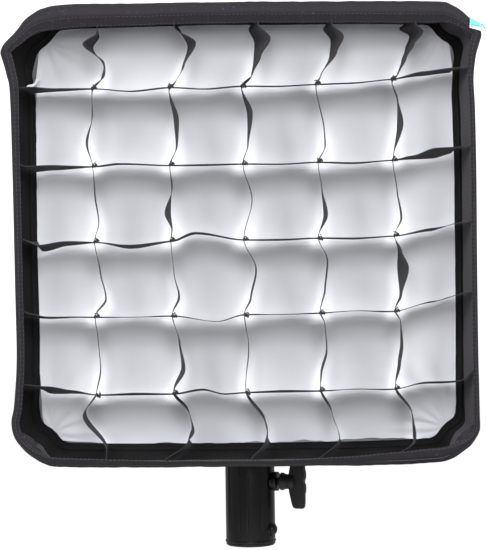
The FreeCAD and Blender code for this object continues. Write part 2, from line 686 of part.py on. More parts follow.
def make_tilt_bracket():
    """A base screwed under the frame and two ears that straddle the receiver's knuckle."""
    top = f"{HEAD} - dims.frame_half"
    under = f"{top} - dims.base_wall"
    reach = "dims.base_half"
    deep = "dims.base_depth_half"
    pieces = [box("bracket_base", f"-{reach}", reach, f"-{deep}", deep, under, top)]
    for name, low, high in (("left", f"-{EAR_OUTSIDE}", f"-{EAR_FACE}"), ("right", EAR_FACE, EAR_OUTSIDE)):
        ear_top = f"{under} + dims.base_wall / 2"
        pieces.append(box(f"ear_plate_{name}", low, high, f"-{deep}", deep, PIVOT, ear_top))
        pieces.append(along_x(f"ear_round_{name}", "dims.knuckle_radius", low, high, "0", PIVOT))
    solid = fuse("bracket_solid", pieces)
    hole = "dims.pivot_radius + dims.running_clearance"
    drill = [along_x("ear_hole", hole, f"-{EAR_OUTSIDE} - 1", f"{EAR_OUTSIDE} + 1", "0", PIVOT)]
    for name, sign in (("left", -1), ("right", 1)):
        radius = "dims.base_screw_radius + dims.screw_clearance"
        x = f"{sign} * dims.base_screw_place"
        drill.append(cylinder(f"base_hole_{name}", radius, "dims.base_wall + 2", x, "0", f"{under} - 1"))
    subpart(cut("bracket", solid, group("bracket_drill", drill)), "tilt_bracket")


def make_bracket_screws():
    under = f"{HEAD} - dims.frame_half - dims.base_wall"
    screws = []
    for name, sign in (("left", -1), ("right", 1)):
        x = f"{sign} * dims.base_screw_place"
        start = f"{under} - 0.5"
        length = "dims.base_screw_length + 0.5"
        shank = cylinder(f"base_shank_{name}", "dims.base_screw_radius", length, x, "0", start)
        height = "dims.base_head_height"
        head = cylinder(f"base_head_{name}", "dims.base_head_radius", height, x, "0", f"{under} - {height}")
        screws.append(fuse(f"base_screw_{name}", [shank, head]))
    subpart(group("base_screws", screws), "bracket_screws")


def make_pivot():
    """The pivot bolt and the four washers on it."""
    height = PIVOT
    face = LEVER_FACE
    bolt_end = f"{LEVER_END} - 2"
    shank = along_x("bolt_shank", "dims.pivot_radius", f"-{face} - 1", bolt_end, "0", height)
    head_end = f"-{face} - dims.pivot_head_height"
    head = along_x("bolt_head", "dims.pivot_head_radius", head_end, f"-{face}", "0", height)
    subpart(fuse("bolt", [shank, head]), "pivot_bolt")
    friction = (FRICTION_FACE, "dims.friction_washer_radius")
    plain = (f"({EAR_OUTSIDE} + dims.washer_gap)", "dims.plain_washer_radius")
    washers = []
    for kind, (start, radius) in (("friction", friction), ("plain", plain)):
        end = f"{start} + dims.washer_wall"
        hole = "dims.pivot_radius + dims.screw_clearance"
        for name, low, high in (("left", f"-({end})", f"-{start}"), ("right", start, end)):
            disc = along_x(f"{kind}_disc_{name}", radius, low, high, "0", height)
            eye = along_x(f"{kind}_eye_{name}", hole, f"{low} - 1", f"{high} + 1", "0", height)
            washers.append(cut(f"{kind}_washer_{name}", disc, eye))
    subpart(group("washers", washers), "pivot_washers")


def make_tilt_lever():
    """Hub on the bolt's end, and an arm that hangs beside the receiver."""
    height = PIVOT
    hub_end = LEVER_END
    hub = along_x("lever_hub", "dims.lever_hub_radius", LEVER_FACE, hub_end, "0", height)
    body = new_body("lever_arm")
    sketch = sketch_on(body, "YZ_Plane", "lever_outline", f"{hub_end} - dims.lever_arm_wall")
    tip = "(dims.lever_arm_length - dims.lever_tip_radius)"
    wide = "dims.lever_arm_half"
    tip_wide = "dims.lever_tip_radius"
    outline(sketch, [(f"-{wide}", "0"), (f"-{tip_wide}", f"-{tip}"), (tip_wide, f"-{tip}"), (wide, "0")])
    pad(body, "lever_plate", sketch, "dims.lever_arm_wall", False)
    bind(body, **{"Placement.Base.z": height})
    tip_height = f"{height} - {tip}"
    end = along_x("lever_tip", tip_wide, f"{hub_end} - dims.lever_arm_wall", hub_end, "0", tip_height)
    solid = fuse("lever_solid", [hub, body, end])
    radius = "dims.pivot_radius + dims.running_clearance"
    hole = along_x("lever_hole", radius, f"{LEVER_FACE} - 1", f"{hub_end} - 1", "0", height)
    subpart(cut("lever", solid, hole), "tilt_lever")


# ---------------------------------------------------------------- receiver

def make_receiver():
    """A turned body with a blind socket, a knuckle on top and two bosses on its side."""
    body = new_body("receiver_turned")
    sketch = sketch_on(body, "XZ_Plane", "receiver_profile")
    radius = "dims.casting_radius"
    height = "dims.casting_height"
    bevel = "dims.mouth_bevel"
    shoulder = "dims.shoulder_bevel"
    outline(sketch, [
        ("dims.bore_radius", "0"), (f"{radius} - {bevel}", "0"), (radius, bevel),
        (radius, f"{height} - {shoulder}"), (f"{radius} - {shoulder}", height), ("0", height),
        ("0", "dims.bore_depth"), ("dims.bore_radius", "dims.bore_depth"),
    ])
    turned = body.newObject("PartDesign::Revolution", "receiver_turning")
    turned.Profile = sketch
    turned.ReferenceAxis = (sketch, ["V_Axis"])
    turned.Angle = 360
    half = "dims.knuckle_half"
    round_radius = "dims.knuckle_radius"
    pivot = PIVOT
    plate = box("knuckle_plate", f"-{half}", half, f"-{round_radius}", round_radius, f"{height} - 2", pivot)
    rounded = along_x("knuckle_round", round_radius, f"-{half}", half, "0", pivot)
    start = "(dims.bore_radius + dims.casting_radius) / 2"
    clamp = radial(
        "clamp_boss", "dims.clamp_boss_radius", start, CLAMP_REACH, "dims.clamp_angle", "dims.clamp_height",
    )
    stop = radial(
        "stop_boss", "dims.stop_boss_radius", start, STOP_REACH,
        "dims.stop_screw_angle", "dims.stop_screw_height",
    )
    solid = fuse("receiver_solid", [body, plate, rounded, clamp, stop])
    pin_hole = "dims.pivot_radius + dims.running_clearance"
    thread_hole = "dims.clamp_thread_radius + dims.running_clearance"
    pad_hole = "dims.pad_radius + dims.pad_clearance"
    pocket_end = f"{PAD_PLACE} + dims.pad_wall + 2 * dims.pad_clearance"
    stop_hole = "dims.stop_thread_radius + dims.running_clearance"
    stop_start = f"{STOP_REACH} - dims.stop_thread_length - dims.pad_clearance"
    drill = [
        along_x("pin_hole", pin_hole, f"-{half} - 1", f"{half} + 1", "0", pivot),
        radial(
            "thread_hole", thread_hole, "5", f"{CLAMP_REACH} + 1",
            "dims.clamp_angle", "dims.clamp_height",
        ),
        radial("pad_pocket", pad_hole, "5", pocket_end, "dims.clamp_angle", "dims.clamp_height"),
        radial(
            "stop_hole", stop_hole, stop_start, f"{STOP_REACH} + 1",
            "dims.stop_screw_angle", "dims.stop_screw_height",
        ),
    ]
    subpart(cut("receiver", solid, group("receiver_drill", drill)), "receiver_casting")


def make_clamp_ring():
    turn = "dims.clamp_angle"
    height = "dims.clamp_height"
    end = CLAMP_REACH
    start = f"{end} - dims.clamp_ring_length"
    inside = "dims.clamp_boss_radius + dims.screw_clearance"
    disc = radial("ring_disc", f"{inside} + dims.clamp_ring_wall", start, end, turn, height)
    eye = radial("ring_eye", inside, f"{start} - 1", f"{end} + 1", turn, height)
    round_body = cylinder("ring_relief", "dims.casting_radius + dims.skin_gap", "dims.casting_height")
    tools = group("ring_tools", [eye, round_body])
    subpart(cut("clamp_ring_cut", disc, tools), "clamp_boss_ring")


def make_clamp_screw():
    """Pressure pad, threaded screw and winged handle, all on the clamp's axis."""
    turn = "dims.clamp_angle"
    height = "dims.clamp_height"
    pad_end = f"{PAD_PLACE} + dims.pad_wall"
    subpart(radial("pad_disc", "dims.pad_radius", PAD_PLACE, pad_end, turn, height), "clamp_pad")
    wing_middle = f"{WING_PLACE} + dims.wing_wall / 2"
    thread = radial("clamp_thread", "dims.clamp_thread_radius", SCREW_START, wing_middle, turn, height)
    subpart(thread, "clamp_screw")
    neck = doc.addObject("Part::Cone", "handle_neck")
    bind(neck, Radius1="dims.neck_radius", Radius2="dims.wing_neck_radius", Height="dims.neck_length")
    place(neck, f"cos({turn}) * {NECK_PLACE}", f"-sin({turn}) * {NECK_PLACE}", height,
          f"sin({turn}); cos({turn}); 0", "90")
    body = new_body("handle_wing")
    sketch = sketch_on(body, "YZ_Plane", "wing_outline", WING_PLACE)
    tip = "(dims.wing_span / 2 - dims.wing_tip_radius)"
    tip_half = "dims.wing_tip_radius"
    waist = "(dims.wing_thickness / 2)"
    outline(sketch, [
        (f"-{waist}", "0"), (f"-{tip_half}", f"-{tip}"), (tip_half, f"-{tip}"),
        (waist, "0"), (tip_half, tip), (f"-{tip_half}", tip),
    ])
    pad(body, "wing_plate", sketch, "dims.wing_wall", False)
    place(body, "0", "0", height, "0; 0; 1", f"-{turn}")
    tips = []
    for name, sign in (("upper", 1), ("lower", -1)):
        z = f"{height} + {sign} * {tip}"
        end = f"{WING_PLACE} + dims.wing_wall"
        tips.append(radial(f"wing_tip_{name}", tip_half, WING_PLACE, end, turn, z))
    solid = fuse("handle_solid", [neck, body] + tips)
    hole_radius = "dims.clamp_thread_radius + dims.running_clearance"
    hole_end = f"{wing_middle} + dims.skin_gap"
    hole = radial("handle_hole", hole_radius, f"{NECK_PLACE} - 1", hole_end, turn, height)
    subpart(cut("handle", solid, hole), "t_handle")


def make_stop_screw():
    """A dome-headed screw near the mouth."""
    turn = "dims.stop_screw_angle"
    height = "dims.stop_screw_height"
    seat = STOP_REACH
    start = f"{seat} - dims.stop_thread_length"
    thread = radial("stop_thread", "dims.stop_thread_radius", start, f"{seat} + 0.5", turn, height)
    rim = f"{seat} + dims.stop_head_height / 2"
    flat = radial("stop_rim", "dims.stop_head_radius", seat, rim, turn, height)
    dome = doc.addObject("Part::Cone", "stop_dome")
    bind(dome, Radius1="dims.stop_head_radius", Radius2="dims.stop_head_radius * 0.6")
    bind(dome, Height="dims.stop_head_height / 2")
    x = f"cos({turn}) * ({rim})"
    y = f"-sin({turn}) * ({rim})"
    place(dome, x, y, height, f"sin({turn}); cos({turn}); 0", "90")
    subpart(fuse("stop_screw", [thread, flat, dome]), "retaining_screw")


# ---------------------------------------------------------------- small cloth parts

def make_corner_tab():
    """A folded tab sewn into the right seam, near the top corner."""
    start = "dims.front_half + dims.skin_gap"
    end = f"{start} + dims.tab_length"
    front = "-(dims.front_depth - dims.tab_wall)"
    back = f"{front} + dims.tab_wall"
    low = f"{HEAD} + dims.front_half - dims.tab_drop - dims.tab_width / 2"
    subpart(box("tab", start, end, front, back, low, f"{low} + dims.tab_width"), "corner_tab")


def make_pull_ribbon():
    """A short ribbon that lies between the diffuser and the grid, in the upper left cell."""
    ribbon = doc.addObject("Part::Box", "ribbon")
    bind(ribbon, Length="dims.ribbon_length", Width="dims.ribbon_wall", Height="dims.ribbon_width")
    middle = f"-({STRIP_BACK} + {DIFFUSER_PLACE}) / 2"
    x = f"-({half_at(DIFFUSER_PLACE)} - dims.ribbon_inset)"
    z = f"{HEAD} + {half_at(DIFFUSER_PLACE)} - dims.ribbon_drop"
    place(ribbon, x, middle, z, "0; -1; 0", "dims.ribbon_slope")
    subpart(ribbon, "pull_ribbon")


make_shell()
make_lining()
make_tapes()
make_diffuser()
make_grid_strips()
make_grid_knots()
make_cuff()
make_rods()
make_corner_pockets()
screw_holes = frame_screw_tools()
make_rails(screw_holes)
make_corner_sockets(screw_holes)
make_frame_screws()
make_clips()
make_tilt_bracket()
make_bracket_screws()
make_pivot()
make_tilt_lever()
make_receiver()
make_clamp_ring()
make_clamp_screw()
make_stop_screw()
make_corner_tab()
make_pull_ribbon()
doc.recompute()

# ---------------------------------------------------------------- checks and export

for thing in doc.Objects:
    if "Invalid" in thing.State or "Error" in thing.State:
        raise RuntimeError(f"{thing.Name} failed: {thing.State}")

for thing in subparts:
    if thing.Shape.isNull() or not thing.Shape.isValid() or not thing.Shape.Solids:
        raise RuntimeError(f"{thing.Label} has no valid solid")

os.makedirs("parts", exist_ok=True)
for thing in subparts:
    thing.Shape.exportStep(f"parts/{thing.Label}.step")
    print(f"{thing.Label}: {len(thing.Shape.Solids)} solid(s), {thing.Shape.Volume / 1000:.1f} cm3")
print(f"{len(subparts)} nodes")
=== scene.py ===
# %% [markdown]
# # A square softbox with a fabric grid
# A softbox is a fabric box that is stretched by four springy rods. A lamp sits behind it, a white
# cloth inside it spreads the light, and a grid of black strips in front keeps the light narrow.
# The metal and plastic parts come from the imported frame. All the cloth is shaped here.

# %% Load the frame
import bpy
import bmesh
import json
import math
import random
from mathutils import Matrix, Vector, noise


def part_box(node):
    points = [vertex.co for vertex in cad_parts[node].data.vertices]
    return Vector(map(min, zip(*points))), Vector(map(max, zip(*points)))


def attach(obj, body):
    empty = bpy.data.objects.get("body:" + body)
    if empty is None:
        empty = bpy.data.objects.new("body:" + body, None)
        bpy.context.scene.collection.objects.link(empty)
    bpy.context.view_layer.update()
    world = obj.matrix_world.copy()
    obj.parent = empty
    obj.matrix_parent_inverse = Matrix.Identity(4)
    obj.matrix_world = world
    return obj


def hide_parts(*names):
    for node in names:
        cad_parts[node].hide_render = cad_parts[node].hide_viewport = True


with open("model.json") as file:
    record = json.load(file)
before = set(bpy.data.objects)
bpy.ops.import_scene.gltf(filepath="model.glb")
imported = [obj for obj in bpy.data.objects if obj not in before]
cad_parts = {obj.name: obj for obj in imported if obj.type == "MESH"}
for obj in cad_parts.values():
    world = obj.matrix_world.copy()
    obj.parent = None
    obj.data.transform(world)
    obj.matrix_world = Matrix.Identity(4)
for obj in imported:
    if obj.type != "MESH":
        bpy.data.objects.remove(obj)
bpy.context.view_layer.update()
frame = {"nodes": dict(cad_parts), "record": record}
nodes = frame["nodes"]

# %% [markdown]
# The box is a tapered sleeve. Its front edge and its rear cuff are squares, so two half widths and
# two places along the depth give every point of its skin. They are read from the frame.
# "Forward" is the distance towards the front, and "up" is measured from the box's middle.

# %% Sizes of the box
MM = 0.001
hem_low, hem_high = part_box("hem_top")
FRONT = -hem_low[1]
FRONT_HALF = hem_high[0]
MIDDLE = hem_high[2] - FRONT_HALF
cuff_low, cuff_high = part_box("rear_cuff")
REAR = -cuff_low[1]
REAR_HALF = cuff_high[0]
DIFFUSER = -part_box("diffuser")[0][1]
STRIP_FRONT = -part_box("grid_strip_v1")[0][1]
STRIP_BACK = -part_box("grid_strip_v1")[1][1]


def half_at(forward):
    """Half the box's width at a distance forward of the origin."""
    share = (forward - REAR) / (FRONT - REAR)
    return REAR_HALF + (FRONT_HALF - REAR_HALF) * share


def point(x, forward, up):
    """A point right of the middle, forward of the origin and above the box's middle."""
    return Vector((x, -forward, MIDDLE + up))


print("front half width", round(FRONT_HALF, 4), "rear", round(REAR_HALF, 4), "middle", round(MIDDLE, 4))

# %% [markdown]
# The camera stands in front, level with the box's middle and a couple of metres away. The frame is
# shifted down a little, because the box fills the picture and the receiver hangs below it.

# %% Camera
CAMERA_FORWARD = 2.47
CAMERA_ROLL = math.radians(0.8)
CAMERA_LENS = 147.2
CAMERA_SHIFT = (-0.0055, -0.0749)
camera_data = bpy.data.cameras.new("camera")
camera = bpy.data.objects.new("camera", camera_data)
bpy.context.scene.collection.objects.link(camera)
camera.location = (0, -CAMERA_FORWARD, MIDDLE)
camera.rotation_euler = (math.pi / 2, CAMERA_ROLL, 0)
camera_data.lens = CAMERA_LENS
camera_data.shift_x, camera_data.shift_y = CAMERA_SHIFT
camera_data.clip_end = 50
bpy.context.scene.camera = camera

# %% [markdown]
# Cloth is made from a flat grid whose points are then placed by a small function, as a tailor's
# pattern is laid over a form. The grid keeps a UV map in metres, so that a weave printed on it
# has one size on every piece.

# %% Helpers for cloth
def deselect():
    """Nothing stays selected, because an operator acts on all that is."""
    bpy.ops.object.select_all(action="DESELECT")


def pick(piece):
    """Select one piece and make it the active one."""
    deselect()
    piece.select_set(True)
    bpy.context.view_layer.objects.active = piece


def apply_all(piece):
    """Apply every modifier that is on the piece."""
    pick(piece)
    for modifier in list(piece.modifiers):
        bpy.ops.object.modifier_apply(modifier=modifier.name)


def lay_cloth(name, columns, rows, form, flat, closed=False):
    """A grid of cloth. form(across, down) gives each point, for 0 to 1 each way."""
    deselect()
    bpy.ops.mesh.primitive_grid_add(x_subdivisions=columns, y_subdivisions=rows, size=1)
    piece = bpy.context.object
    piece.name = name
    piece.data.name = name
    spots = [(v.co.x + 0.5, v.co.y + 0.5) for v in piece.data.vertices]
    weave = piece.data.uv_layers.active.data
    for loop in piece.data.loops:
        across, down = spots[loop.vertex_index]
        weave[loop.index].uv = (across * flat[0], down * flat[1])
    for vertex, (across, down) in zip(piece.data.vertices, spots):
        vertex.co = form(across, down)
    if closed:
        bpy.ops.object.mode_set(mode="EDIT")
        bpy.ops.mesh.select_all(action="SELECT")
        bpy.ops.mesh.remove_doubles(threshold=0.00002)
        bpy.ops.mesh.normals_make_consistent(inside=False)
        bpy.ops.object.mode_set(mode="OBJECT")
    return piece


def give_wall(piece, wall, side=0.0, smooth=60):
    """Give a sheet its thickness, and shade it smooth up to an angle."""
    solid = piece.modifiers.new("wall", "SOLIDIFY")
    solid.thickness = wall
    solid.offset = side
    apply_all(piece)
    bpy.ops.object.shade_smooth_by_angle(angle=math.radians(smooth))
    return piece


def joined(name, parts):
    """Several meshes as one piece."""
    deselect()
    for part in parts:
        part.select_set(True)
    bpy.context.view_layer.objects.active = parts[0]
    if len(parts) > 1:
        bpy.ops.object.join()
    piece = bpy.context.object
    piece.name = name
    piece.data.name = name
    return piece


def blend_in(value, low, high):
    """0 below low, 1 above high, and a smooth slope between."""
    share = min(max((value - low) / (high - low), 0.0), 1.0)
    return share * share * (3 - 2 * share)


def ripple(place, seed, size):
    """A smooth random height from -1 to 1."""
    return noise.noise(Vector((place[0] / size + seed * 7.3, place[1] / size, seed * 3.1)))


# %% [markdown]
# The front edge is not a true square. The rods pull the corners out, the fabric between them
# falls in a little, and the top left corner is pinched into a fold. The outline is a closed curve
# through a few given points, clockwise from the top left, in millimetres from the middle.

# %% Outline of the front edge
EDGE = [
    (-181, 229), (-197, 226), (-206, 222), (-217, 214), (-223, 206), (-230, 198), (-237, 191),
    (-241, 183), (-239, 175), (-235, 160), (-232, 140), (-230.5, 60), (-229.5, -50), (-229, -120),
    (-232, -165), (-235, -182), (-233, -196), (-227, -206), (-221, -213), (-213, -219),
    (-202, -225), (-186, -228), (-120, -229.5), (0, -230), (120, -230.5), (180, -229),
    (200, -225), (210, -219), (218, -213), (224, -205), (228, -196), (228, -180), (227.5, -120),
    (227.5, -40), (228, 60), (227.5, 120), (226.5, 150), (229, 172), (233, 186), (235, 195),
    (230, 204), (222, 212), (215, 218), (205, 224), (192, 227), (120, 228.5), (0, 229.5),
    (-120, 229.5),
]
EDGE = EDGE[::-1]
EDGE_SCALE = 1.005


def curve_between(a, b, c, d, share):
    """A smooth curve from b to c that knows its neighbours a and d."""
    square = share * share
    cube = square * share
    return 0.5 * (
        2 * b + (c - a) * share + (2 * a - 5 * b + 4 * c - d) * square + (3 * b - a - 3 * c + d) * cube
    )


def even_outline(points, count):
    """The closed curve through the points, cut into equal steps."""
    knots = [Vector(p) * MM * EDGE_SCALE for p in points]
    fine = []
    for index in range(len(knots)):
        around = [knots[(index + step - 1) % len(knots)] for step in range(4)]
        fine += [curve_between(*around, share / 30) for share in range(30)]
    fine.append(fine[0])
    lengths = [0.0]
    for a, b in zip(fine, fine[1:]):
        lengths.append(lengths[-1] + (b - a).length)
    even = []
    spot = 0
    for step in range(count):
        target = lengths[-1] * step / count
        while lengths[spot + 1] < target:
            spot += 1
        share = (target - lengths[spot]) / (lengths[spot + 1] - lengths[spot])
        even.append(fine[spot].lerp(fine[spot + 1], share))
    return even, lengths[-1]


RIM, RIM_LENGTH = even_outline(EDGE, 960)
print("length of the front edge", round(RIM_LENGTH, 3), "m")


def rim_at(turn):
    """Point of the front edge and the direction inwards, for a turn of 0 to 1."""
    spot = (turn % 1.0) * len(RIM)
    first = int(spot)
    here = RIM[first % len(RIM)].lerp(RIM[(first + 1) % len(RIM)], spot - first)
    along = RIM[(first + 5) % len(RIM)] - RIM[(first - 4) % len(RIM)]
    inwards = Vector((-along.y, along.x)).normalized()
    if inwards.dot(here) > 0:
        inwards = -inwards
    return here, inwards


# %% [markdown]
# One function gives every layer of the box's wall. It starts on the square rear cuff, follows the
# taper, and takes on the shape of the front edge as it comes forward. Between the rods the cloth
# dishes in a few millimetres, with soft creases that run towards the corners.

# %% The skin of the box
CORNER_SHARPNESS = 30
DISH = 2 * MM


def square_share(x, up):
    """How far out a direction reaches, measured as a square with slightly rounded corners."""
    high = max(abs(x), abs(up))
    low = min(abs(x), abs(up))
    return high * (1 + (low / high) ** CORNER_SHARPNESS) ** (1 / CORNER_SHARPNESS)


def wall_belly(forward):
    """How far the cloth between two rods dishes in near the cuff, and swells out near the front."""
    share = min(max((forward - REAR) / (FRONT - REAR), 0.0), 1.0)
    return DISH * math.sin(2 * math.pi * share ** 1.1)


def skin(turn, forward, inset=0.0, creases=1.0):
    """A point of the box's wall, set inwards by inset."""
    here, inwards = rim_at(turn)
    reach = square_share(here.x, here.y)
    square = here / reach
    share = min(max((forward - REAR) / (FRONT - REAR), 0.0), 1.0)
    stray = (here - square * FRONT_HALF) * share ** 3
    side = min(abs(square.x), abs(square.y))
    dish = wall_belly(forward) * (1 - side ** 2)
    fold = ripple((turn * 24, forward * 18), 1, 1.0) * math.sin(math.pi * share) * (1 - share) ** 0.5
    spread = square * half_at(forward) + stray + inwards * (inset + dish + 1.8 * MM * fold * creases)
    return point(spread.x, forward, spread.y)


# %% [markdown]
# The outer shell is black woven polyester. The sheet runs once round the box, from the cuff to the
# stiff front hem.

# %% Outer shell
AROUND = 480
SHELL_BACK = -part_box("shell_top")[1][1]
HEM_BACK = -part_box("hem_top")[1][1]
HEM_OVERLAP = 8 * MM
shell_flat = (4 * (REAR_HALF + FRONT_HALF), HEM_BACK - SHELL_BACK)


def shell_form(across, down):
    return skin(across, SHELL_BACK + (HEM_BACK - HEM_OVERLAP - SHELL_BACK) * down, 0.4 * MM)


shell = lay_cloth("shell_cloth", AROUND, 48, shell_form, shell_flat, closed=True)
give_wall(shell, 1.0 * MM)
print("shell:", len(shell.data.polygons), "faces")

# %% [markdown]
# The front hem is a strip of the same cloth, folded over a stiffener. At the top it leans
# forwards and inwards over the opening, at the sides it is a narrow roll, and at the bottom it
# faces down. So its width and the place of its ridge change as it goes round.

# %% Front hem
SIDE_SHARPNESS = 14


def side_mix(here, top, bottom, left, right):
    """A value that belongs to each side, blended at the corners."""
    level = abs(here.x) ** SIDE_SHARPNESS
    upright = abs(here.y) ** SIDE_SHARPNESS
    share = upright / (level + upright)
    return (top if here.y > 0 else bottom) * share + (left if here.x < 0 else right) * (1 - share)


def lip_width(here):
    """How far the hem reaches inwards."""
    along = here.x / FRONT_HALF
    top = 22.5 + 2.6 * along ** 2 - 0.8 * along
    top = top + 1.4 * blend_in(-along, 0.6, 0.9)
    bottom = 7.5 + 3.0 * blend_in(-along, 0.2, 0.9) + 9.0 * blend_in(along, 0.1, 0.95)
    left = 9.0 + 3.0 * blend_in(here.y / FRONT_HALF, 0.4, 0.9)
    right = 6.5 + 4.0 * blend_in(here.y / FRONT_HALF, 0.6, 0.9)
    return side_mix(here, top, bottom, left, right) * MM


def ridge_share(here):
    """Where the hem's ridge lies between its outer and inner edge."""
    return side_mix(here, 0.50, 0.93, 0.45, 0.5)


def hem_section(here):
    """Inward and forward distances round the folded hem."""
    lip = lip_width(here)
    ridge = ridge_share(here)
    drop = side_mix(here, 7.5, 1.0, 3.5, 3.0) * MM
    lean = side_mix(here, 1.0, 2.0, 1.6, 1.3)
    thick = 1.4 * MM
    return [
        (0.2 * MM, HEM_BACK - HEM_OVERLAP - 2 * MM), (0.0, HEM_BACK), (0.10 * lip, FRONT - 5.5 * lean * MM),
        (0.5 * ridge * lip, FRONT - 1.6 * lean * MM), (ridge * lip, FRONT + 0.4 * MM),
        ((0.5 + 0.5 * ridge) * lip, FRONT - 0.45 * drop), (lip, FRONT - drop),
        (lip - 0.4 * MM, FRONT - drop - thick),
        ((0.5 + 0.5 * ridge) * lip - 0.3 * MM, FRONT - 0.45 * drop - thick),
        (ridge * lip, FRONT - thick), (0.5 * ridge * lip + 1.2 * MM, FRONT - 3.4 * MM),
        (0.1 * lip + 1.8 * MM, FRONT - (4.0 + 3.4 * lean) * MM), (2.6 * MM, HEM_BACK),
        (2.4 * MM, HEM_BACK - HEM_OVERLAP - 2 * MM),
    ]


def hem_form(across, down):
    here, inwards = rim_at(across)
    section = hem_section(here)
    spot = down * len(section)
    first = int(spot) % len(section)
    share = spot - int(spot)
    a = section[first]
    b = section[(first + 1) % len(section)]
    inset = a[0] + (b[0] - a[0]) * share
    forward = a[1] + (b[1] - a[1]) * share
    puff = 0.7 * MM * ripple((across * 90, 0), 5, 1.0) + 0.5 * MM * ripple((across * 260, 0), 6, 1.0)
    spread = here + inwards * inset
    return point(spread.x, forward + puff * blend_in(forward, HEM_BACK, FRONT), spread.y + 0.6 * puff)


hem = lay_cloth("front_hem", 720, 28, hem_form, (RIM_LENGTH, 0.07), closed=True)
hem_soft = hem.modifiers.new("soft", "SUBSURF")
hem_soft.levels = 1
hem_soft.render_levels = 1
apply_all(hem)
bpy.ops.object.shade_smooth_by_angle(angle=math.radians(70))
print("hem:", len(hem.data.polygons), "faces")

# %% [markdown]
# Four more layers line the inside: the silver lining behind the diffuser, the black band of
# loop tape that the diffuser sticks to, the tape on the diffuser's edge, and the tape that the
# grid is sewn to. Each is the same sleeve with another depth and inset. The tapes are wavy, as sewn
# tape is, and in the corners they stand off the wall, because they pass over the rods' ends.

# %% Lining and tapes
def sleeve(name, back, front, inset, wall, rows, waves=0.0):
    """A band of cloth round the inside of the wall. back, front and inset may be functions."""
    def amount(value, here):
        return value(here) if callable(value) else value

    def form(across, down):
        here = rim_at(across)[0]
        first = amount(back, here)
        last = amount(front, here)
        forward = first + (last - first) * down
        forward += waves * ripple((across * 70, 0), 11, 1.0) * (1 - down)
        return skin(
            across, forward, amount(inset, here) + 0.5 * waves * ripple((across * 110, down), 12, 1.0),
        )

    depth = abs(amount(front, RIM[0]) - amount(back, RIM[0]))
    length = 4 * (half_at(amount(back, RIM[0])) + half_at(amount(front, RIM[0])))
    piece = lay_cloth(name, AROUND, rows, form, (length, max(depth, 12 * MM)), closed=True)
    return give_wall(piece, wall)


ROD_COVER = 8 * MM


def over_rod(inset):
    """An inset that grows in the corners, where the cloth passes over the end of a rod."""
    def amount(here):
        side = min(abs(here.x), abs(here.y)) / max(abs(here.x), abs(here.y))
        return inset + ROD_COVER * blend_in(side, 0.87, 0.99)
    return amount


lining_front = -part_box("silver_lining")[0][1]
lining = sleeve("lining_cloth", SHELL_BACK, lining_front, 2.4 * MM, 0.5 * MM, 30)
band_front = -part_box("loop_band")[0][1]
band = sleeve(
    "loop_tape_band", DIFFUSER - 3 * MM, band_front + 4 * MM, over_rod(1.5 * MM), 0.7 * MM, 12,
    0.8 * MM,
)
edge_tape = sleeve(
    "diffuser_edge", DIFFUSER - 0.5 * MM, DIFFUSER + 17 * MM, over_rod(2.5 * MM), 0.7 * MM, 6, 0.4 * MM,
)


def border_back(here):
    """The grid's tape is wide at the top and right, and narrow at the left and bottom."""
    depth = side_mix(here, 35, 9, 7, 33) * MM
    return STRIP_FRONT - depth


border = sleeve("grid_tape", border_back, STRIP_FRONT, over_rod(3.6 * MM), 0.8 * MM, 10, 0.6 * MM)
print("tapes:", len(band.data.polygons) + len(edge_tape.data.polygons) + len(border.data.polygons), "faces")

# %% [markdown]
# The diffuser is a thin white twill, held at its edge only. It is a little too large for the box,
# so it sags between its sides, its edge wanders, and folds run in from the corners.

# %% Diffuser
diffuser_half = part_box("diffuser")[1][0] + 0.3 * MM
diffuser_swell = -wall_belly(DIFFUSER)
CORNER_CUT = 0.034
LOW_EDGE_WAVE = 3.6 * MM
DIFFUSER_SAG = 3.5 * MM


def fold_fan(x, up, corner_x, corner_up, count, deep):
    """Folds that fan out from a corner and fade away from it."""
    away = Vector((x - corner_x, up - corner_up))
    far = away.length
    turn = math.atan2(abs(away.y) + 1e-6, abs(away.x) + 1e-6)
    fade = math.exp(-far / 0.045) * blend_in(far, 0.004, 0.02)
    return deep * fade * math.sin(turn * count + far * 60)


def diffuser_form(across, down):
    x = (across - 0.5) * 2
    up = (down - 0.5) * 2
    cut = 1 - CORNER_CUT * (x * x * up * up) ** 5
    edge = max(abs(x), abs(up)) ** 12
    wander = 1.9 * abs(ripple((x * 9, up * 9), 21, 1.0)) + 1.0 * abs(ripple((x * 26, up * 26), 22, 1.0))
    px = x * (diffuser_half * cut + diffuser_swell * (1 - up * up) - wander * edge * MM * (abs(x) > abs(up)))
    pz = up * (diffuser_half * cut + diffuser_swell * (1 - x * x) - wander * edge * MM * (abs(up) >= abs(x)))
    low_edge = LOW_EDGE_WAVE * abs(ripple((x * 5, 3), 25, 1.0)) * blend_in(-up, 0.9, 1.0)
    pz += low_edge
    sag = DIFFUSER_SAG * (1 - x * x) * (1 - up * up)
    soft = 1.5 * MM * ripple((px, pz), 23, 0.11) + 0.5 * MM * ripple((px + pz, px - pz), 24, 0.05)
    fan = 0.0
    for corner_x, corner_up, count, deep in (
        (-1, 1, 11, 2.6), (1, 1, 13, 2.6), (-1, -1, 12, 2.4), (1, -1, 15, 2.8),
    ):
        fan += fold_fan(px, pz, corner_x * 0.2, corner_up * 0.2, count, deep * MM)
    return point(px, DIFFUSER - sag + (soft + fan) * (1 - 0.6 * edge), pz)


diffuser = lay_cloth("diffuser_cloth", 240, 240, diffuser_form, (0.428, 0.428))
give_wall(diffuser, 0.45 * MM)
print("diffuser:", len(diffuser.data.polygons), "faces")

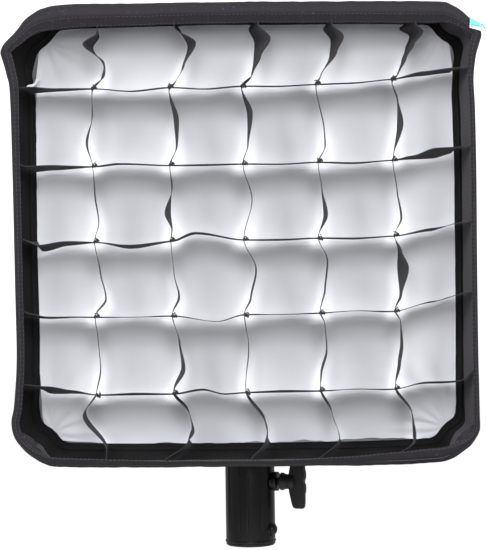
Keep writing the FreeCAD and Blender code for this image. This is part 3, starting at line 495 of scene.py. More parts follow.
# %% [markdown]
# Ten soft strips make the grid. Each one is tied to the crossing strips at five knots and sewn to
# the tape at both ends. Between two knots a strip bows or kinks sideways, and its front and rear
# edges do so by different amounts, so the strip shows as a thin line in one place and as a blade
# in another. Each bend is a share of the way between two knots, and how far the front and the
# rear edge stand to the side there, in millimetres.

# %% Knots and bends of the grid
KNOT_X = [-151, -75, -3, 71, 145.5]
KNOT_UP = [146, 69, -6, -80, -157]


def knot_place(column, row):
    """Right and up of a knot, in metres. The knots stray a little from a square pattern."""
    x = KNOT_X[column] + 1.2 * ripple((column * 3.1, row * 2.3), 31, 1.0)
    up = KNOT_UP[row] + 2.2 * (column / 4) ** 2 * (1 if row < 3 else 0.8) + (row == 0) * (column == 4) * 3
    return Vector((x * MM, up * MM))


UPRIGHTS = [
    dict(
        ends=(-146, -146, -143, -141),
        bends=[
            [(0.3, 2, 4), (0.44, -11.5, -1.5), (0.68, 11, 10), (0.84, 12, 8)],
            [(0.35, 0.5, -1), (0.7, -6.5, -5)],
            [(0.35, 2, 0.5), (0.75, 5, 4)], [(0.4, 6, 4.5), (0.78, 11.5, 10)], [(0.3, 3, 2), (0.7, 5, 4)],
            [(0.32, -16, -14), (0.8, 3, 1)],
        ],
    ),
    dict(
        ends=(-68, -66, -85, -57),
        bends=[
            [(0.25, 1, 6), (0.44, 23.5, 14), (0.73, 14, 10.5), (0.93, 7, 4.5)],
            [(0.42, 9.5, 4.5), (0.75, 8, 6)],
            [(0.3, 2.5, 1), (0.64, -5.5, 0), (0.85, 1, 1.5)], [(0.45, 3, 2), (0.76, 8, 6)],
            [(0.35, 7.5, 5.5), (0.7, 12, 8)], [(0.3, 18.5, 9), (0.56, 26, 7.5), (0.73, 20.5, 1.5)],
        ],
    ),
    dict(
        ends=(10, 8, 0, 20),
        bends=[
            [(0.22, 7.5, -1), (0.4, 21.5, 6.5), (0.63, 15, 8), (0.85, 9.5, 7.5)],
            [(0.35, 10.5, 5), (0.75, 6, 4.5)],
            [(0.47, 9, 8)], [(0.4, 12.5, 11), (0.8, 7, 5.5)], [(0.44, 4, 3)],
            [(0.45, 17.5, 8), (0.6, 19, 7), (0.73, 16, 4)],
        ],
    ),
    dict(
        ends=(84, 82, 68, 90),
        bends=[
            [(0.23, 7, -1), (0.385, 20, 8), (0.59, 16, 9), (0.885, 4, 2.5)], [(0.6, 7.5, 6.5), (0.8, 8, 6.5)],
            [(0.35, 4, 3), (0.7, 9.5, 5)], [(0.3, 9, 7.5), (0.7, 6, 4.5)],
            [(0.15, 5, 4), (0.5, 7, 5.5), (0.8, 1.5, 0)], [(0.34, 12.5, 4), (0.7, 20.5, 4)],
        ],
    ),
    dict(
        ends=(162, 160, 139, 162),
        bends=[
            [(0.25, 13, -3), (0.347, 21.5, 8.5), (0.54, 15, 7), (0.71, 10.5, 5.5), (0.93, 6, 3.5)],
            [(0.25, 6, 5), (0.55, 11, 4.5)],
            [(0.4, 4, 3), (0.77, 8, 6)], [(0.2, 7, 3), (0.43, 14, 2.5), (0.8, 7, 4.5)],
            [(0.15, 6, 5), (0.45, 8, 5), (0.7, 5.5, 2.5)], [(0.37, 19, 9), (0.74, 24, 4)],
        ],
    ),
]
LEVELS = [
    dict(
        ends=(147, 145, 162, 160),
        bends=[
            [(0.15, 1.5, -2), (0.5, 0, -1)], [(0.5, -3, -3)], [(0.5, -2, -2)], [(0.5, -1, -1)],
            [(0.5, -1, -1.2)], [(0.4, 2.5, 0), (0.8, 1.5, -0.5)],
        ],
    ),
    dict(
        ends=(74, 69, 84, 82),
        bends=[
            [(0.08, -3.5, -4), (0.4, -1.5, -2.5)], [(0.33, 2.5, 2)], [(0.5, 0, -0.5)], [(0.5, -1, -1)],
            [(0.5, -1.5, -2)], [(0.25, 0.5, -1.5), (0.55, 4, -4), (0.8, 1.5, -2)],
        ],
    ),
    dict(
        ends=(-1, -4, 10, 8),
        bends=[
            [(0.25, -6, -9), (0.6, -1, -3)], [(0.45, -3.5, -6)], [(0.33, 8, 7)], [(0.5, -0.5, -1)],
            [(0.5, -1, -1.5)], [(0.5, 0, -1)],
        ],
    ),
    dict(
        ends=(-72, -75, -60, -63),
        bends=[
            [(0.12, -3, -3), (0.35, -4.5, -3.5), (0.7, -2, -1)], [(0.5, -1, 0)], [(0.62, -6.5, -5.5)],
            [(0.5, -1, 0)], [(0.5, 1, 2)], [(0.5, 0, 1)],
        ],
    ),
    dict(
        ends=(-146, -149, -137, -140),
        bends=[
            [(0.35, 1.5, -2.5), (0.7, 1, 0)], [(0.5, 1, 0)], [(0.4, 4, 3.5), (0.7, -1, -1)], [(0.5, 1, 0)],
            [(0.5, 0.5, 1.5)], [(0.4, -1, -0.5), (0.84, -8, -6)],
        ],
    ),
]
print("grid:", len(UPRIGHTS), "upright and", len(LEVELS), "level strips")


# %% [markdown]
# A strip is a single piece of cloth from wall to wall. Its front and its rear edge are two half-sharp
# curves through the knots and the bends, and the cloth is spanned between them. So a bend that
# differs between the edges turns the strip's face to the front, as it does in slack cloth.

# %% Grid strips
WALL_GAP = 4.6 * MM
STRIP_WALL = 0.5 * MM
FOLD_SHARPNESS = 0.36
UPRIGHT_LEAN = 0.4 * MM
LEVEL_DROP = 1.1 * MM
REAR_SPREAD = (CAMERA_FORWARD - STRIP_BACK) / (CAMERA_FORWARD - STRIP_FRONT)


def wall_reach(side_x, side_up, beside, forward):
    """How far from the middle the wall stands, at a place beside the middle line."""
    best = min(RIM, key=lambda rim: (
        abs((rim.x if side_x == 0 else rim.y) - beside) + 9 * (rim.y * side_up + rim.x * side_x < 0.15)
    ))
    edge = abs(best.x if side_x else best.y)
    share = (forward - REAR) / (FRONT - REAR)
    return half_at(forward) + (edge - FRONT_HALF) * share ** 3 - WALL_GAP


def line_through(stations, place):
    """Height over place of a half-sharp curve through (place, height) stations."""
    index = 0
    while index < len(stations) - 2 and place > stations[index + 1][0]:
        index += 1
    (a, low), (b, high) = stations[index], stations[index + 1]
    before = stations[max(index - 1, 0)]
    after = stations[min(index + 2, len(stations) - 1)]
    slope_a = FOLD_SHARPNESS * (high - before[1]) / max(b - before[0], 1e-6)
    slope_b = FOLD_SHARPNESS * (after[1] - low) / max(after[0] - a, 1e-6)
    wide = b - a
    t = min(max((place - a) / wide, 0.0), 1.0)
    h = 1 - t
    return (
        low * (1 + 2 * t) * h * h + high * (3 - 2 * t) * t * t
        + wide * (slope_a * t * h * h - slope_b * h * t * t)
    )


def strip_lines(knots, ends, bends, first_end, last_end):
    """Front and rear edge stations (along, beside) of one strip. Along grows from first to last end."""
    fixed = [(first_end, ends[0] * MM, ends[1] * MM)]
    fixed += [(along, beside, beside) for along, beside in knots]
    fixed.append((last_end, ends[2] * MM, ends[3] * MM))
    front = []
    rear = []
    for (a, a_front, a_rear), (b, b_front, b_rear), bend in zip(fixed, fixed[1:], bends):
        front.append((a, a_front))
        rear.append((a, a_rear))
        for share, out_front, out_rear in bend:
            along = a + (b - a) * share
            front.append((along, a_front + (b_front - a_front) * share + out_front * MM))
            rear.append((along, a_rear + (b_rear - a_rear) * share + out_rear * MM))
    front.append((fixed[-1][0], fixed[-1][1]))
    rear.append((fixed[-1][0], fixed[-1][2]))
    return front, rear


def strip(name, upright, index, seed):
    """One strip of the grid, from wall to wall."""
    shape = (UPRIGHTS if upright else LEVELS)[index]
    ends = shape["ends"]
    if upright:
        knots = [(-knot_place(index, row).y, knot_place(index, row).x) for row in range(5)]
    else:
        knots = [(knot_place(column, index).x, knot_place(column, index).y) for column in range(5)]
    reaches = []
    for forward, near, far in ((STRIP_FRONT, ends[0], ends[2]), (STRIP_BACK, ends[1], ends[3])):
        if upright:
            reaches.append((wall_reach(0, 1, near * MM, forward), wall_reach(0, -1, far * MM, forward)))
        else:
            reaches.append((wall_reach(-1, 0, near * MM, forward), wall_reach(1, 0, far * MM, forward)))
    front, rear = strip_lines(knots, ends, shape["bends"], -reaches[0][0], reaches[0][1])
    rear[0] = (-reaches[1][0], rear[0][1])
    rear[-1] = (reaches[1][1], rear[-1][1])
    depth = STRIP_FRONT - STRIP_BACK

    def form(across, down):
        low = front[0][0] + (rear[0][0] - front[0][0]) * down
        high = front[-1][0] + (rear[-1][0] - front[-1][0]) * down
        along = low + (high - low) * across
        beside_front = line_through(front, along)
        beside_rear = line_through(rear, along) * REAR_SPREAD + (UPRIGHT_LEAN if upright else -LEVEL_DROP)
        beside = beside_front + (beside_rear - beside_front) * down
        beside += 0.5 * MM * math.sin(math.pi * down) * ripple((along, down), seed, 0.03)
        lean = depth * down
        lean -= 2.2 * MM * (1 - down) * ripple((along, 0), seed + 3, 0.04) ** 2
        forward = STRIP_FRONT - max(lean, 0.0)
        return point(beside, forward, -along) if upright else point(along, forward, beside)

    piece = lay_cloth(name, 200, 6, form, (2 * FRONT_HALF, depth))
    return give_wall(piece, STRIP_WALL, 0.0, 70)


strips = []
for index in range(5):
    strips.append(strip(f"strip_v{index + 1}", True, index, 41 + index))
    strips.append(strip(f"strip_h{index + 1}", False, index, 51 + index))
print("strips:", sum(len(piece.data.polygons) for piece in strips), "faces")

# %% [markdown]
# A knot is a few turns of black thread round the crossing, with its cut ends left long. One knot
# is modelled from rings and a tapered thread, and then copied, turned and placed on each crossing.

# %% Thread knots
random.seed(7)


def thread_ring(radius, thick, turn):
    """One turn of thread."""
    deselect()
    bpy.ops.mesh.primitive_torus_add(
        major_radius=radius, minor_radius=thick, major_segments=14, minor_segments=6, rotation=turn,
    )
    ring = bpy.context.object
    bpy.ops.object.transform_apply(location=True, rotation=True, scale=True)
    return ring


def thread_end(length, turn, lift):
    """A cut end of thread that stands off the knot, thinner at its tip."""
    deselect()
    bpy.ops.mesh.primitive_cone_add(
        vertices=6, radius1=0.55 * MM, radius2=0.28 * MM, depth=length, location=(0, 0, length / 2),
    )
    end = bpy.context.object
    bpy.ops.object.mode_set(mode="EDIT")
    bpy.ops.mesh.select_all(action="SELECT")
    bpy.ops.mesh.subdivide(number_cuts=1)
    bpy.ops.object.mode_set(mode="OBJECT")
    for vertex in end.data.vertices:
        vertex.co.x += 0.22 * vertex.co.z ** 2 / length
    end.rotation_euler = (math.pi / 2 + lift, turn, 0)
    bpy.ops.object.transform_apply(location=True, rotation=True, scale=True)
    return end


def tie_knot(place, turn, seed):
    """A knot at a crossing: four turns of thread side by side, and five cut ends."""
    draw = random.Random(seed)
    parts = []
    for tilt, offset in ((0.30, -2.1), (-0.20, -0.8), (0.12, 0.7), (-0.25, 2.0)):
        ring = thread_ring(1.35 * MM, 0.62 * MM, (tilt, math.pi / 2 + tilt, 0))
        ring.location = (offset * MM, 0, 0)
        parts.append(ring)
    ends = ((1.45, 5.2), (-1.7, 6.2), (2.3, 4.6), (0.7, 4.4), (4.1, 5.0))
    for angle, length in ends:
        end = thread_end((length + draw.uniform(-0.8, 0.8)) * MM, angle + draw.uniform(-0.4, 0.4), 0.15)
        end.location = (draw.uniform(-1.2, 1.2) * MM, 0, 0)
        parts.append(end)
    knot = joined("knot", parts)
    knot.rotation_euler = (0, turn, 0)
    knot.location = place
    bpy.ops.object.transform_apply(location=True, rotation=True, scale=True)
    return knot


knots = []
for row in range(5):
    for column in range(5):
        spot = knot_place(column, row)
        place = point(spot.x, STRIP_FRONT + 0.6 * MM, spot.y)
        knots.append(tie_knot(place, random.uniform(-0.5, 0.5), row * 5 + column))
knots = joined("thread_knots", knots)
bpy.ops.object.shade_smooth_by_angle(angle=math.radians(60))
print("knots:", len(knots.data.polygons), "faces")

# %% [markdown]
# Stitches are what makes sewn cloth look sewn. One row follows the ridge of the hem and another
# one its inner edge. A stitch is a short six-sided grain of thread, half sunk in the cloth.

# %% Stitches
STITCH_PITCH = 4.2 * MM


def grain(a, b, outwards, radius, corners, faces):
    """One stitch between two points, as a spindle with six sides."""
    axis = (b - a).normalized()
    side = axis.cross(outwards).normalized()
    up = side.cross(axis).normalized()
    first = len(corners)
    for share, swell in ((0.0, 0.35), (0.5, 1.0), (1.0, 0.35)):
        centre = a.lerp(b, share)
        for step in range(6):
            angle = math.pi / 3 * step
            corners.append(centre + (side * math.cos(angle) + up * math.sin(angle)) * radius * swell)
    for level in (0, 6):
        for step in range(6):
            a1 = first + level + step
            a2 = first + level + (step + 1) % 6
            faces.append((a1, a2, a2 + 6, a1 + 6))
    faces.append(tuple(first + step for step in reversed(range(6))))
    faces.append(tuple(first + 12 + step for step in range(6)))


def stitch_row(name, line, count, radius=0.32 * MM, gap=0.3):
    """A row of stitches along a line. line(share) gives a point and the direction off the cloth."""
    corners = []
    faces = []
    for index in range(count):
        a, outwards = line(index / count)
        b, outwards = line((index + 1 - gap) / count)
        grain(a, b, outwards, radius, corners, faces)
    mesh = bpy.data.meshes.new(name)
    mesh.from_pydata(corners, [], faces)
    piece = bpy.data.objects.new(name, mesh)
    bpy.context.scene.collection.objects.link(piece)
    pick(piece)
    bpy.ops.object.mode_set(mode="EDIT")
    bpy.ops.mesh.select_all(action="SELECT")
    bpy.ops.mesh.normals_make_consistent(inside=False)
    bpy.ops.object.mode_set(mode="OBJECT")
    bpy.ops.object.shade_smooth_by_angle(angle=math.radians(60))
    return piece


def hem_line(down, lift):
    """A line round the hem at a share of its section."""
    def line(share):
        spot = hem_form(share, down)
        return spot + Vector((0, -lift, 0)), Vector((0, -1, 0))
    return line


stitch_count = int(RIM_LENGTH / STITCH_PITCH)
ridge_stitches = stitch_row("hem_stitches_ridge", hem_line(4.45 / 14, 0.25 * MM), stitch_count)
lip_stitches = stitch_row("hem_stitches_lip", hem_line(5.75 / 14, 0.25 * MM), stitch_count)
print("stitches:", 2 * stitch_count)

# %% [markdown]
# Piping runs down the four corner seams of the shell, where the panels meet over the rods. It is a
# thin cord of the same cloth, so a round curve is swept along the skin's corner and made a mesh.

# %% Corner seams
def swept(name, points, radius, sides=2):
    """A round tube along a smooth curve, made a mesh."""
    data = bpy.data.curves.new(name, "CURVE")
    data.dimensions = "3D"
    data.bevel_depth = radius
    data.bevel_resolution = sides
    data.resolution_u = 6
    data.use_fill_caps = True
    spline = data.splines.new("NURBS")
    spline.points.add(len(points) - 1)
    for spot, place in zip(spline.points, points):
        spot.co = (*place, 1.0)
    spline.order_u = 3
    spline.use_endpoint_u = True
    piece = bpy.data.objects.new(name, data)
    bpy.context.scene.collection.objects.link(piece)
    pick(piece)
    bpy.ops.object.convert(target="MESH")
    bpy.ops.object.shade_smooth_by_angle(angle=math.radians(60))
    return bpy.context.object


def corner_turn(side_x, side_up):
    """The turn at which the outline passes a corner."""
    best = max(range(len(RIM)), key=lambda index: RIM[index].x * side_x + RIM[index].y * side_up)
    return best / len(RIM)


CORNERS = [(1, 1), (1, -1), (-1, -1), (-1, 1)]
seams = []
for side_x, side_up in CORNERS:
    turn = corner_turn(side_x, side_up)
    steps = 24
    path = [
        skin(turn, SHELL_BACK + 2 * MM + (HEM_BACK - 6 * MM - SHELL_BACK) * step / steps, -0.4 * MM, 0.0)
        for step in range(steps + 1)
    ]
    seams.append(swept("seam", path, 1.3 * MM))
seams = joined("corner_seams", seams)
print("corner seams:", len(seams.data.polygons), "faces")

# %% [markdown]
# The rods are glass-fibre springs. Each one starts in its socket on the rear frame and is bent
# inwards by the pull of the cloth, so its capped tip ends inside the rounded corner of the hem.

# %% Rods, tips and pockets
TIP_INSET = 5.5 * MM
rods = []
tips = []
pockets = []
for number, (side_x, side_up) in enumerate(CORNERS, start=1):
    low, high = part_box(f"corner_rod_{number}")
    start_x = side_x * (min(abs(low[0]), abs(high[0])) + 2.4 * MM)
    start_up = side_up * (min(abs(low[2] - MIDDLE), abs(high[2] - MIDDLE)) + 2.4 * MM)
    root = point(start_x, -high[1], start_up)
    straight = point(
        side_x * (max(abs(low[0]), abs(high[0])) - 2.4 * MM), -low[1],
        side_up * (max(abs(low[2] - MIDDLE), abs(high[2] - MIDDLE)) - 2.4 * MM),
    )
    axis = (straight - root).normalized()
    here, inwards = rim_at(corner_turn(side_x, side_up))
    tip_spot = here + inwards * TIP_INSET
    tip = point(tip_spot.x, HEM_BACK - 3 * MM, tip_spot.y)
    path = [root, root + axis * 0.03, root + axis * 0.09, root.lerp(tip, 0.62) + (straight - tip) * 0.28, tip]
    rods.append(swept(f"bent_rod_{number}", path, 2.5 * MM, 3))
    back = tip + (path[-2] - tip).normalized() * 52 * MM
    cap_path = [
        back, back.lerp(tip, 0.3), back.lerp(tip, 0.8), tip + (tip - path[-2]).normalized() * 1.4 * MM,
    ]
    tips.append(swept("tip", cap_path, 3.5 * MM, 3))

    def pocket_form(across, down, side_x=side_x, side_up=side_up):
        """A three-cornered pocket across the inside of the corner, with a soft belly."""
        turn = corner_turn(side_x, side_up) + (across - 0.5) * 0.030
        rim, inner = rim_at(turn)
        centre, middle_in = rim_at(corner_turn(side_x, side_up))
        chord = centre + middle_in * 16 * MM
        edge = rim + inner * 4.0 * MM
        spread = edge.lerp(chord, down * 0.92)
        belly = 3.5 * MM * math.sin(math.pi * across) * math.sin(math.pi * (0.15 + 0.7 * down))
        return point(spread.x, HEM_BACK + 4.5 * MM + belly, spread.y)

    pocket = lay_cloth("pocket", 16, 10, pocket_form, (0.05, 0.02))
    give_wall(pocket, 1.1 * MM)
    pockets.append(pocket)
tips = joined("rod_caps", tips)
pockets = joined("corner_pocket_cloth", pockets)
print("rods:", len(rods), "tips faces:", len(tips.data.polygons))

# %% [markdown]
# The rear cuff is elastic. Where it is not stretched the cloth gathers into small pleats that run
# front to back, and it rolls over a little at both edges. Its lower side is slit for the bracket.

# %% Rear cuff
slot_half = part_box("tilt_bracket")[1][0] + 6 * MM
rail_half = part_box("frame_rail_right")[1][0]
CUFF_ROUND = 9 * MM
cuff_corner = rail_half + 0.6 * MM


def cuff_spot(length_share):
    """A point on the rounded square round the frame, and its outward direction, from the slot on."""
    straight = 2 * (cuff_corner - CUFF_ROUND * 0.15)
    total = 4 * straight
    walk = slot_half + (total - 2 * slot_half) * length_share
    spots = [(0, -1), (-1, 0), (0, 1), (1, 0), (0, -1)]
    walk += straight / 2
    side = int(walk // straight) % 4
    share = walk / straight - walk // straight
    beside = (share - 0.5) * 2 * cuff_corner
    out = Vector(spots[side])
    along = Vector((out.y, -out.x))
    return out * cuff_corner + along * beside, out


def cuff_form(across, down):
    here, out = cuff_spot(across)
    reach = square_share(here.x, here.y)
    here = here / reach * cuff_corner
    pleat = math.sin(across * 2 * math.pi * 92 + 2.0 * ripple((across * 60, 0), 61, 1.0))
    height = (0.7 + 0.5 * ripple((across * 50, 1), 62, 1.0)) * (0.4 + 0.6 * math.sin(math.pi * down))
    roll = 1.4 * (abs(down - 0.5) * 2) ** 6
    lift = (1.4 + height * pleat - roll * 0.5) * MM
    forward = -REAR + 2 * REAR * down
    return point(here.x + out.x * lift, forward, here.y + out.y * lift)


cuff = lay_cloth("cuff_cloth", 920, 8, cuff_form, (1.36, 2 * REAR))
give_wall(cuff, 0.9 * MM, 1.0)
print("cuff:", len(cuff.data.polygons), "faces")

# %% [markdown]
# Two small ribbons: a folded tab sewn into the right seam near the top, half white and half blue,
# and a white pull ribbon that comes out between the diffuser and the wall.

# %% Ribbons
tab_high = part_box("corner_tab")[1]
TAB_LENGTH = 42 * MM
TAB_FOLD = 0.5 * TAB_LENGTH


def tab_form(across, down):
    """The tab leaves the seam, runs outwards, and is folded back on itself a little lower."""
    fold = min(max((across - 0.46) / 0.08, 0.0), 1.0)
    out = across / 0.46 if across < 0.46 else 1.0 if across < 0.54 else (1 - across) / 0.46
    back = blend_in(across, 0.46, 0.54)
    x = tab_high[0] - 16 * MM + (13 + 4 * back) * MM * out
    top = tab_high[2] - 4 * MM - 5.5 * MM * back - (7.5 - 2.5 * back) * MM * out
    wide = (6.5 - 5.0 * out * (1 - back) - 2.0 * back) * MM
    forward = FRONT + (1.5 - 2.2 * back) * MM + 0.8 * MM * math.sin(math.pi * fold) + 0.4 * MM * down
    return Vector((x, -forward, top - wide * down))


tab = lay_cloth("folded_tab", 36, 8, tab_form, (0.042, 0.0105))
give_wall(tab, 0.5 * MM)


def ribbon_form(across, down):
    """The pull ribbon hangs from the wall and twists as it goes."""
    start = Vector((-0.2180, 0.1480))
    end = Vector((-0.2070, 0.1590))
    middle = start.lerp(end, across)
    lean = (end - start).normalized()
    side = Vector((-lean.y, lean.x))
    width = (down - 0.5) * 3.2 * MM
    twist = 1.1 + 0.9 * math.sin(across * 2.6)
    spread = middle + side * (width * math.sin(twist) + 0.9 * MM * math.sin(across * 9))
    return point(spread.x, DIFFUSER + (32 - 22 * across) * MM + width * math.cos(twist), spread.y)


ribbon = lay_cloth("pull_ribbon_cloth", 30, 6, ribbon_form, (0.024, 0.0105))
give_wall(ribbon, 0.4 * MM)
print("ribbons laid")

# %% [markdown]
# ## Hard parts
# The receiver is a casting, so none of its edges is sharp. A copy of the plain solid is welded and
# its edges are rounded with a bevel. Raised ribs and a foot ring, as a casting has, are added.

# %% Receiver casting
def rounded_copy(name, node, width, angle=32):
    """A welded copy of a frame part with rounded edges."""
    pick(nodes[node])
    bpy.ops.object.duplicate()
    piece = bpy.context.object
    piece.name = name
    piece.parent = None
    piece.data.name = name
    bpy.ops.object.mode_set(mode="EDIT")
    bpy.ops.mesh.select_all(action="SELECT")
    bpy.ops.mesh.remove_doubles(threshold=0.00001)
    bpy.ops.mesh.dissolve_limited(angle_limit=math.radians(1))
    bpy.ops.object.mode_set(mode="OBJECT")
    soften(piece, width, 2, angle)
    return piece


def soften(piece, width, segments=2, angle=32):
    """Round the edges that are sharper than an angle."""
    bevel = piece.modifiers.new("rounding", "BEVEL")
    bevel.width = width
    bevel.segments = segments
    bevel.limit_method = "ANGLE"
    bevel.angle_limit = math.radians(angle)
    apply_all(piece)
    bpy.ops.object.shade_smooth_by_angle(angle=math.radians(35))


def block(x_size, y_size, z_size, centre, turn=0.0):
    """A block that is turned about the receiver's axis."""
    deselect()
    bpy.ops.mesh.primitive_cube_add(size=1)
    piece = bpy.context.object
    piece.scale = (x_size, y_size, z_size)
    bpy.ops.object.transform_apply(location=True, rotation=True, scale=True)
    piece.location = centre
    bpy.ops.object.transform_apply(location=True, rotation=True, scale=True)
    piece.rotation_euler = (0, 0, turn)
    bpy.ops.object.transform_apply(location=True, rotation=True, scale=True)
    return piece


receiver = rounded_copy("receiver_body", "receiver_casting", 0.7 * MM)
casting_radius = -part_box("receiver_casting")[0][0]
ribs = []
for turn in (-118, -98, -62, 62, 90, 118, 150, -150):
    rib = block(3.0 * MM, 3.4 * MM, 92 * MM, (casting_radius - 0.7 * MM, 0, 62 * MM), math.radians(turn))
    soften(rib, 0.8 * MM, 3, 30)
    ribs.append(rib)
deselect()
bpy.ops.mesh.primitive_torus_add(
    major_radius=casting_radius - 0.6 * MM, minor_radius=1.5 * MM, major_segments=64, minor_segments=10,
    location=(0, 0, 5 * MM),
)
foot_ring = bpy.context.object
bpy.ops.object.transform_apply(location=True, rotation=True, scale=True)
ribs = joined("receiver_ribs", ribs + [foot_ring])
print("receiver:", len(receiver.data.polygons), "faces and", len(ribs.data.polygons), "on its ribs")

# %% [markdown]
# The T-handle is moulded: two lobed wings on a waisted neck. Its outline is drawn as one half and
# mirrored, pushed out to its thickness, thinned at the tips, and rounded.

# %% T-handle
CLAMP_TURN = math.radians(-20)
CLAMP_HEIGHT = 70 * MM
WING_IN = 46.5 * MM
HALF_WING = [
    (0.0, 3.0), (-0.4, 8.5), (0.3, 13.0), (1.3, 19.0), (2.4, 25.0), (3.8, 28.5), (6.8, 29.3),
    (14.0, 29.3), (16.5, 28.3), (17.0, 24.0), (16.9, 18.0), (16.7, 13.5), (17.4, 10.5), (17.5, 6.5),
    (17.2, 3.4), (16.2, 1.2),
]


def about_clamp(piece):
    """Turn a piece that was made along +X onto the clamp's own axis."""
    pick(piece)
    piece.location = (0, 0, CLAMP_HEIGHT)
    bpy.ops.object.transform_apply(location=True, rotation=True, scale=True)
    piece.rotation_euler = (0, 0, CLAMP_TURN)
    bpy.ops.object.transform_apply(location=True, rotation=True, scale=True)


def wing_plate():
    """The two wings as one thick plate in the plane of the axis and the height."""
    outline = HALF_WING + [(x, -z) for x, z in reversed(HALF_WING)]
    deselect()
    bpy.ops.mesh.primitive_circle_add(vertices=len(outline), fill_type="NGON")
    plate = bpy.context.object
    for vertex, (x, z) in zip(plate.data.vertices, outline):
        vertex.co = (WING_IN + x * MM, -5.5 * MM, z * MM)
    bpy.ops.object.mode_set(mode="EDIT")
    bpy.ops.mesh.select_all(action="SELECT")
    bpy.ops.mesh.extrude_region_move(TRANSFORM_OT_translate={"value": (0, 11 * MM, 0)})
    bpy.ops.mesh.select_all(action="SELECT")
    bpy.ops.mesh.normals_make_consistent(inside=False)
    bpy.ops.object.mode_set(mode="OBJECT")
    for vertex in plate.data.vertices:
        vertex.co.y *= 1 - 0.42 * blend_in(abs(vertex.co.z), 7 * MM, 29 * MM)
    soften(plate, 1.9 * MM, 4, 40)
    return plate


def turned(name, profile, segments=48):
    """A body of revolution about +X from (along, radius) pairs, closed on the axis."""
    deselect()
    bpy.ops.mesh.primitive_cylinder_add(
        vertices=segments, radius=1, depth=1, end_fill_type="TRIFAN", rotation=(0, math.pi / 2, 0),
    )
    piece = bpy.context.object
    bpy.ops.object.transform_apply(location=True, rotation=True, scale=True)
    bpy.ops.object.mode_set(mode="EDIT")
    mesh = bmesh.from_edit_mesh(piece.data)
    low = [v for v in mesh.verts if v.co.x < 0]
    high = [v for v in mesh.verts if v.co.x > 0]
    for group, (along, radius) in ((low, profile[0]), (high, profile[1])):
        for vertex in group:
            vertex.co = (along, vertex.co.y * radius, vertex.co.z * radius)
    bmesh.update_edit_mesh(piece.data)
    for along, radius in profile[2:]:
        bpy.ops.mesh.select_all(action="DESELECT")
        mesh = bmesh.from_edit_mesh(piece.data)
        end = max(v.co.x for v in mesh.verts)
        for vertex in mesh.verts:
            vertex.select = abs(vertex.co.x - end) < 1e-6
        mesh.select_flush(True)
        before = max(Vector((v.co.y, v.co.z)).length for v in mesh.verts if abs(v.co.x - end) < 1e-6)
        bmesh.update_edit_mesh(piece.data)
        bpy.ops.mesh.extrude_region_move(TRANSFORM_OT_translate={"value": (along - end, 0, 0)})
        share = radius / before
        bpy.ops.transform.resize(value=(1, share, share), center_override=(along, 0, 0))
    bpy.ops.object.mode_set(mode="OBJECT")
    piece.name = name
    bpy.ops.object.shade_smooth_by_angle(angle=math.radians(40))
    return piece


neck = turned("neck", [(a * MM, r * MM) for a, r in (
    (36.2, 8.9), (36.7, 9.6), (38.8, 9.6), (39.8, 8.9), (42.0, 8.2), (44.5, 8.1), (46.6, 8.6),
    (49.0, 9.0), (52.0, 8.0), (54.0, 5.0),
)])
plate = wing_plate()
handle = joined("t_handle_moulding", [plate, neck])
about_clamp(handle)
print("T-handle:", len(handle.data.polygons), "faces")

# %% [markdown]
# The retaining screw is a button head with a hexagon socket. It is turned from a profile, and a
# six-sided well with a dark floor makes the socket.

# %% Retaining screw
STOP_TURN = math.radians(-30)
STOP_SEAT = 28.5
head = turned("button", [(a * MM, r * MM) for a, r in (
    (STOP_SEAT - 5, 3.0), (STOP_SEAT, 3.0), (STOP_SEAT + 0.02, 5.7), (STOP_SEAT + 0.5, 6.0),
    (STOP_SEAT + 1.4, 5.7), (STOP_SEAT + 2.4, 4.8), (STOP_SEAT + 3.1, 3.6), (STOP_SEAT + 3.3, 2.6),
)])
well = turned("well", [(a * MM, r * MM) for a, r in (
    (STOP_SEAT + 3.28, 2.5), (STOP_SEAT + 3.42, 2.5), (STOP_SEAT + 3.44, 2.2), (STOP_SEAT + 3.40, 0.4),
)], 6)
screw = joined("button_screw", [head, well])
screw.location = (0, 0, 18 * MM)
bpy.ops.object.transform_apply(location=True, rotation=True, scale=True)
screw.rotation_euler = (0, 0, STOP_TURN)
bpy.ops.object.transform_apply(location=True, rotation=True, scale=True)
print("retaining screw:", len(screw.data.polygons), "faces")

# %% [markdown]
# The other hard parts keep their shape, but real parts have rounded edges that catch the light. So
# each is welded and softened in the same way, by an amount that suits its size.

# %% Softened hard parts
SOFTENED = {
    "tilt_bracket": 0.8, "tilt_lever": 1.6, "lamp_clip_top": 0.5, "lamp_clip_bottom": 0.5,
    "lamp_clip_left": 0.5, "lamp_clip_right": 0.5, "corner_socket_1": 0.8, "corner_socket_2": 0.8,
    "corner_socket_3": 0.8, "corner_socket_4": 0.8, "frame_rail_top": 1.0, "frame_rail_bottom": 1.0,
    "frame_rail_left": 1.0, "frame_rail_right": 1.0, "clamp_boss_ring": 0.4,
}
softened = {
    node: rounded_copy(node + "_part", node, width * MM) for node, width in SOFTENED.items()
}
print("softened:", len(softened), "parts")

# %% [markdown]
# ## Finishes
# Cloth shows its weave, a little fluff and dust, and soft shading from sheen. Three patterns are
# used by many finishes, so each one is a node group: a plain weave, a twill, and uneven wear.

# %% Helpers for finishes
def new_group(name, inputs, outputs):
    """A shader node group with named number sockets."""
    group = bpy.data.node_groups.new(name, "ShaderNodeTree")
    for title, kind, value in inputs:
        socket = group.interface.new_socket(name=title, in_out="INPUT", socket_type=kind)
        if value is not None:
            socket.default_value = value
    for title, kind in outputs:
        group.interface.new_socket(name=title, in_out="OUTPUT", socket_type=kind)
    start = group.nodes.new("NodeGroupInput")
    end = group.nodes.new("NodeGroupOutput")
    return group, start, end


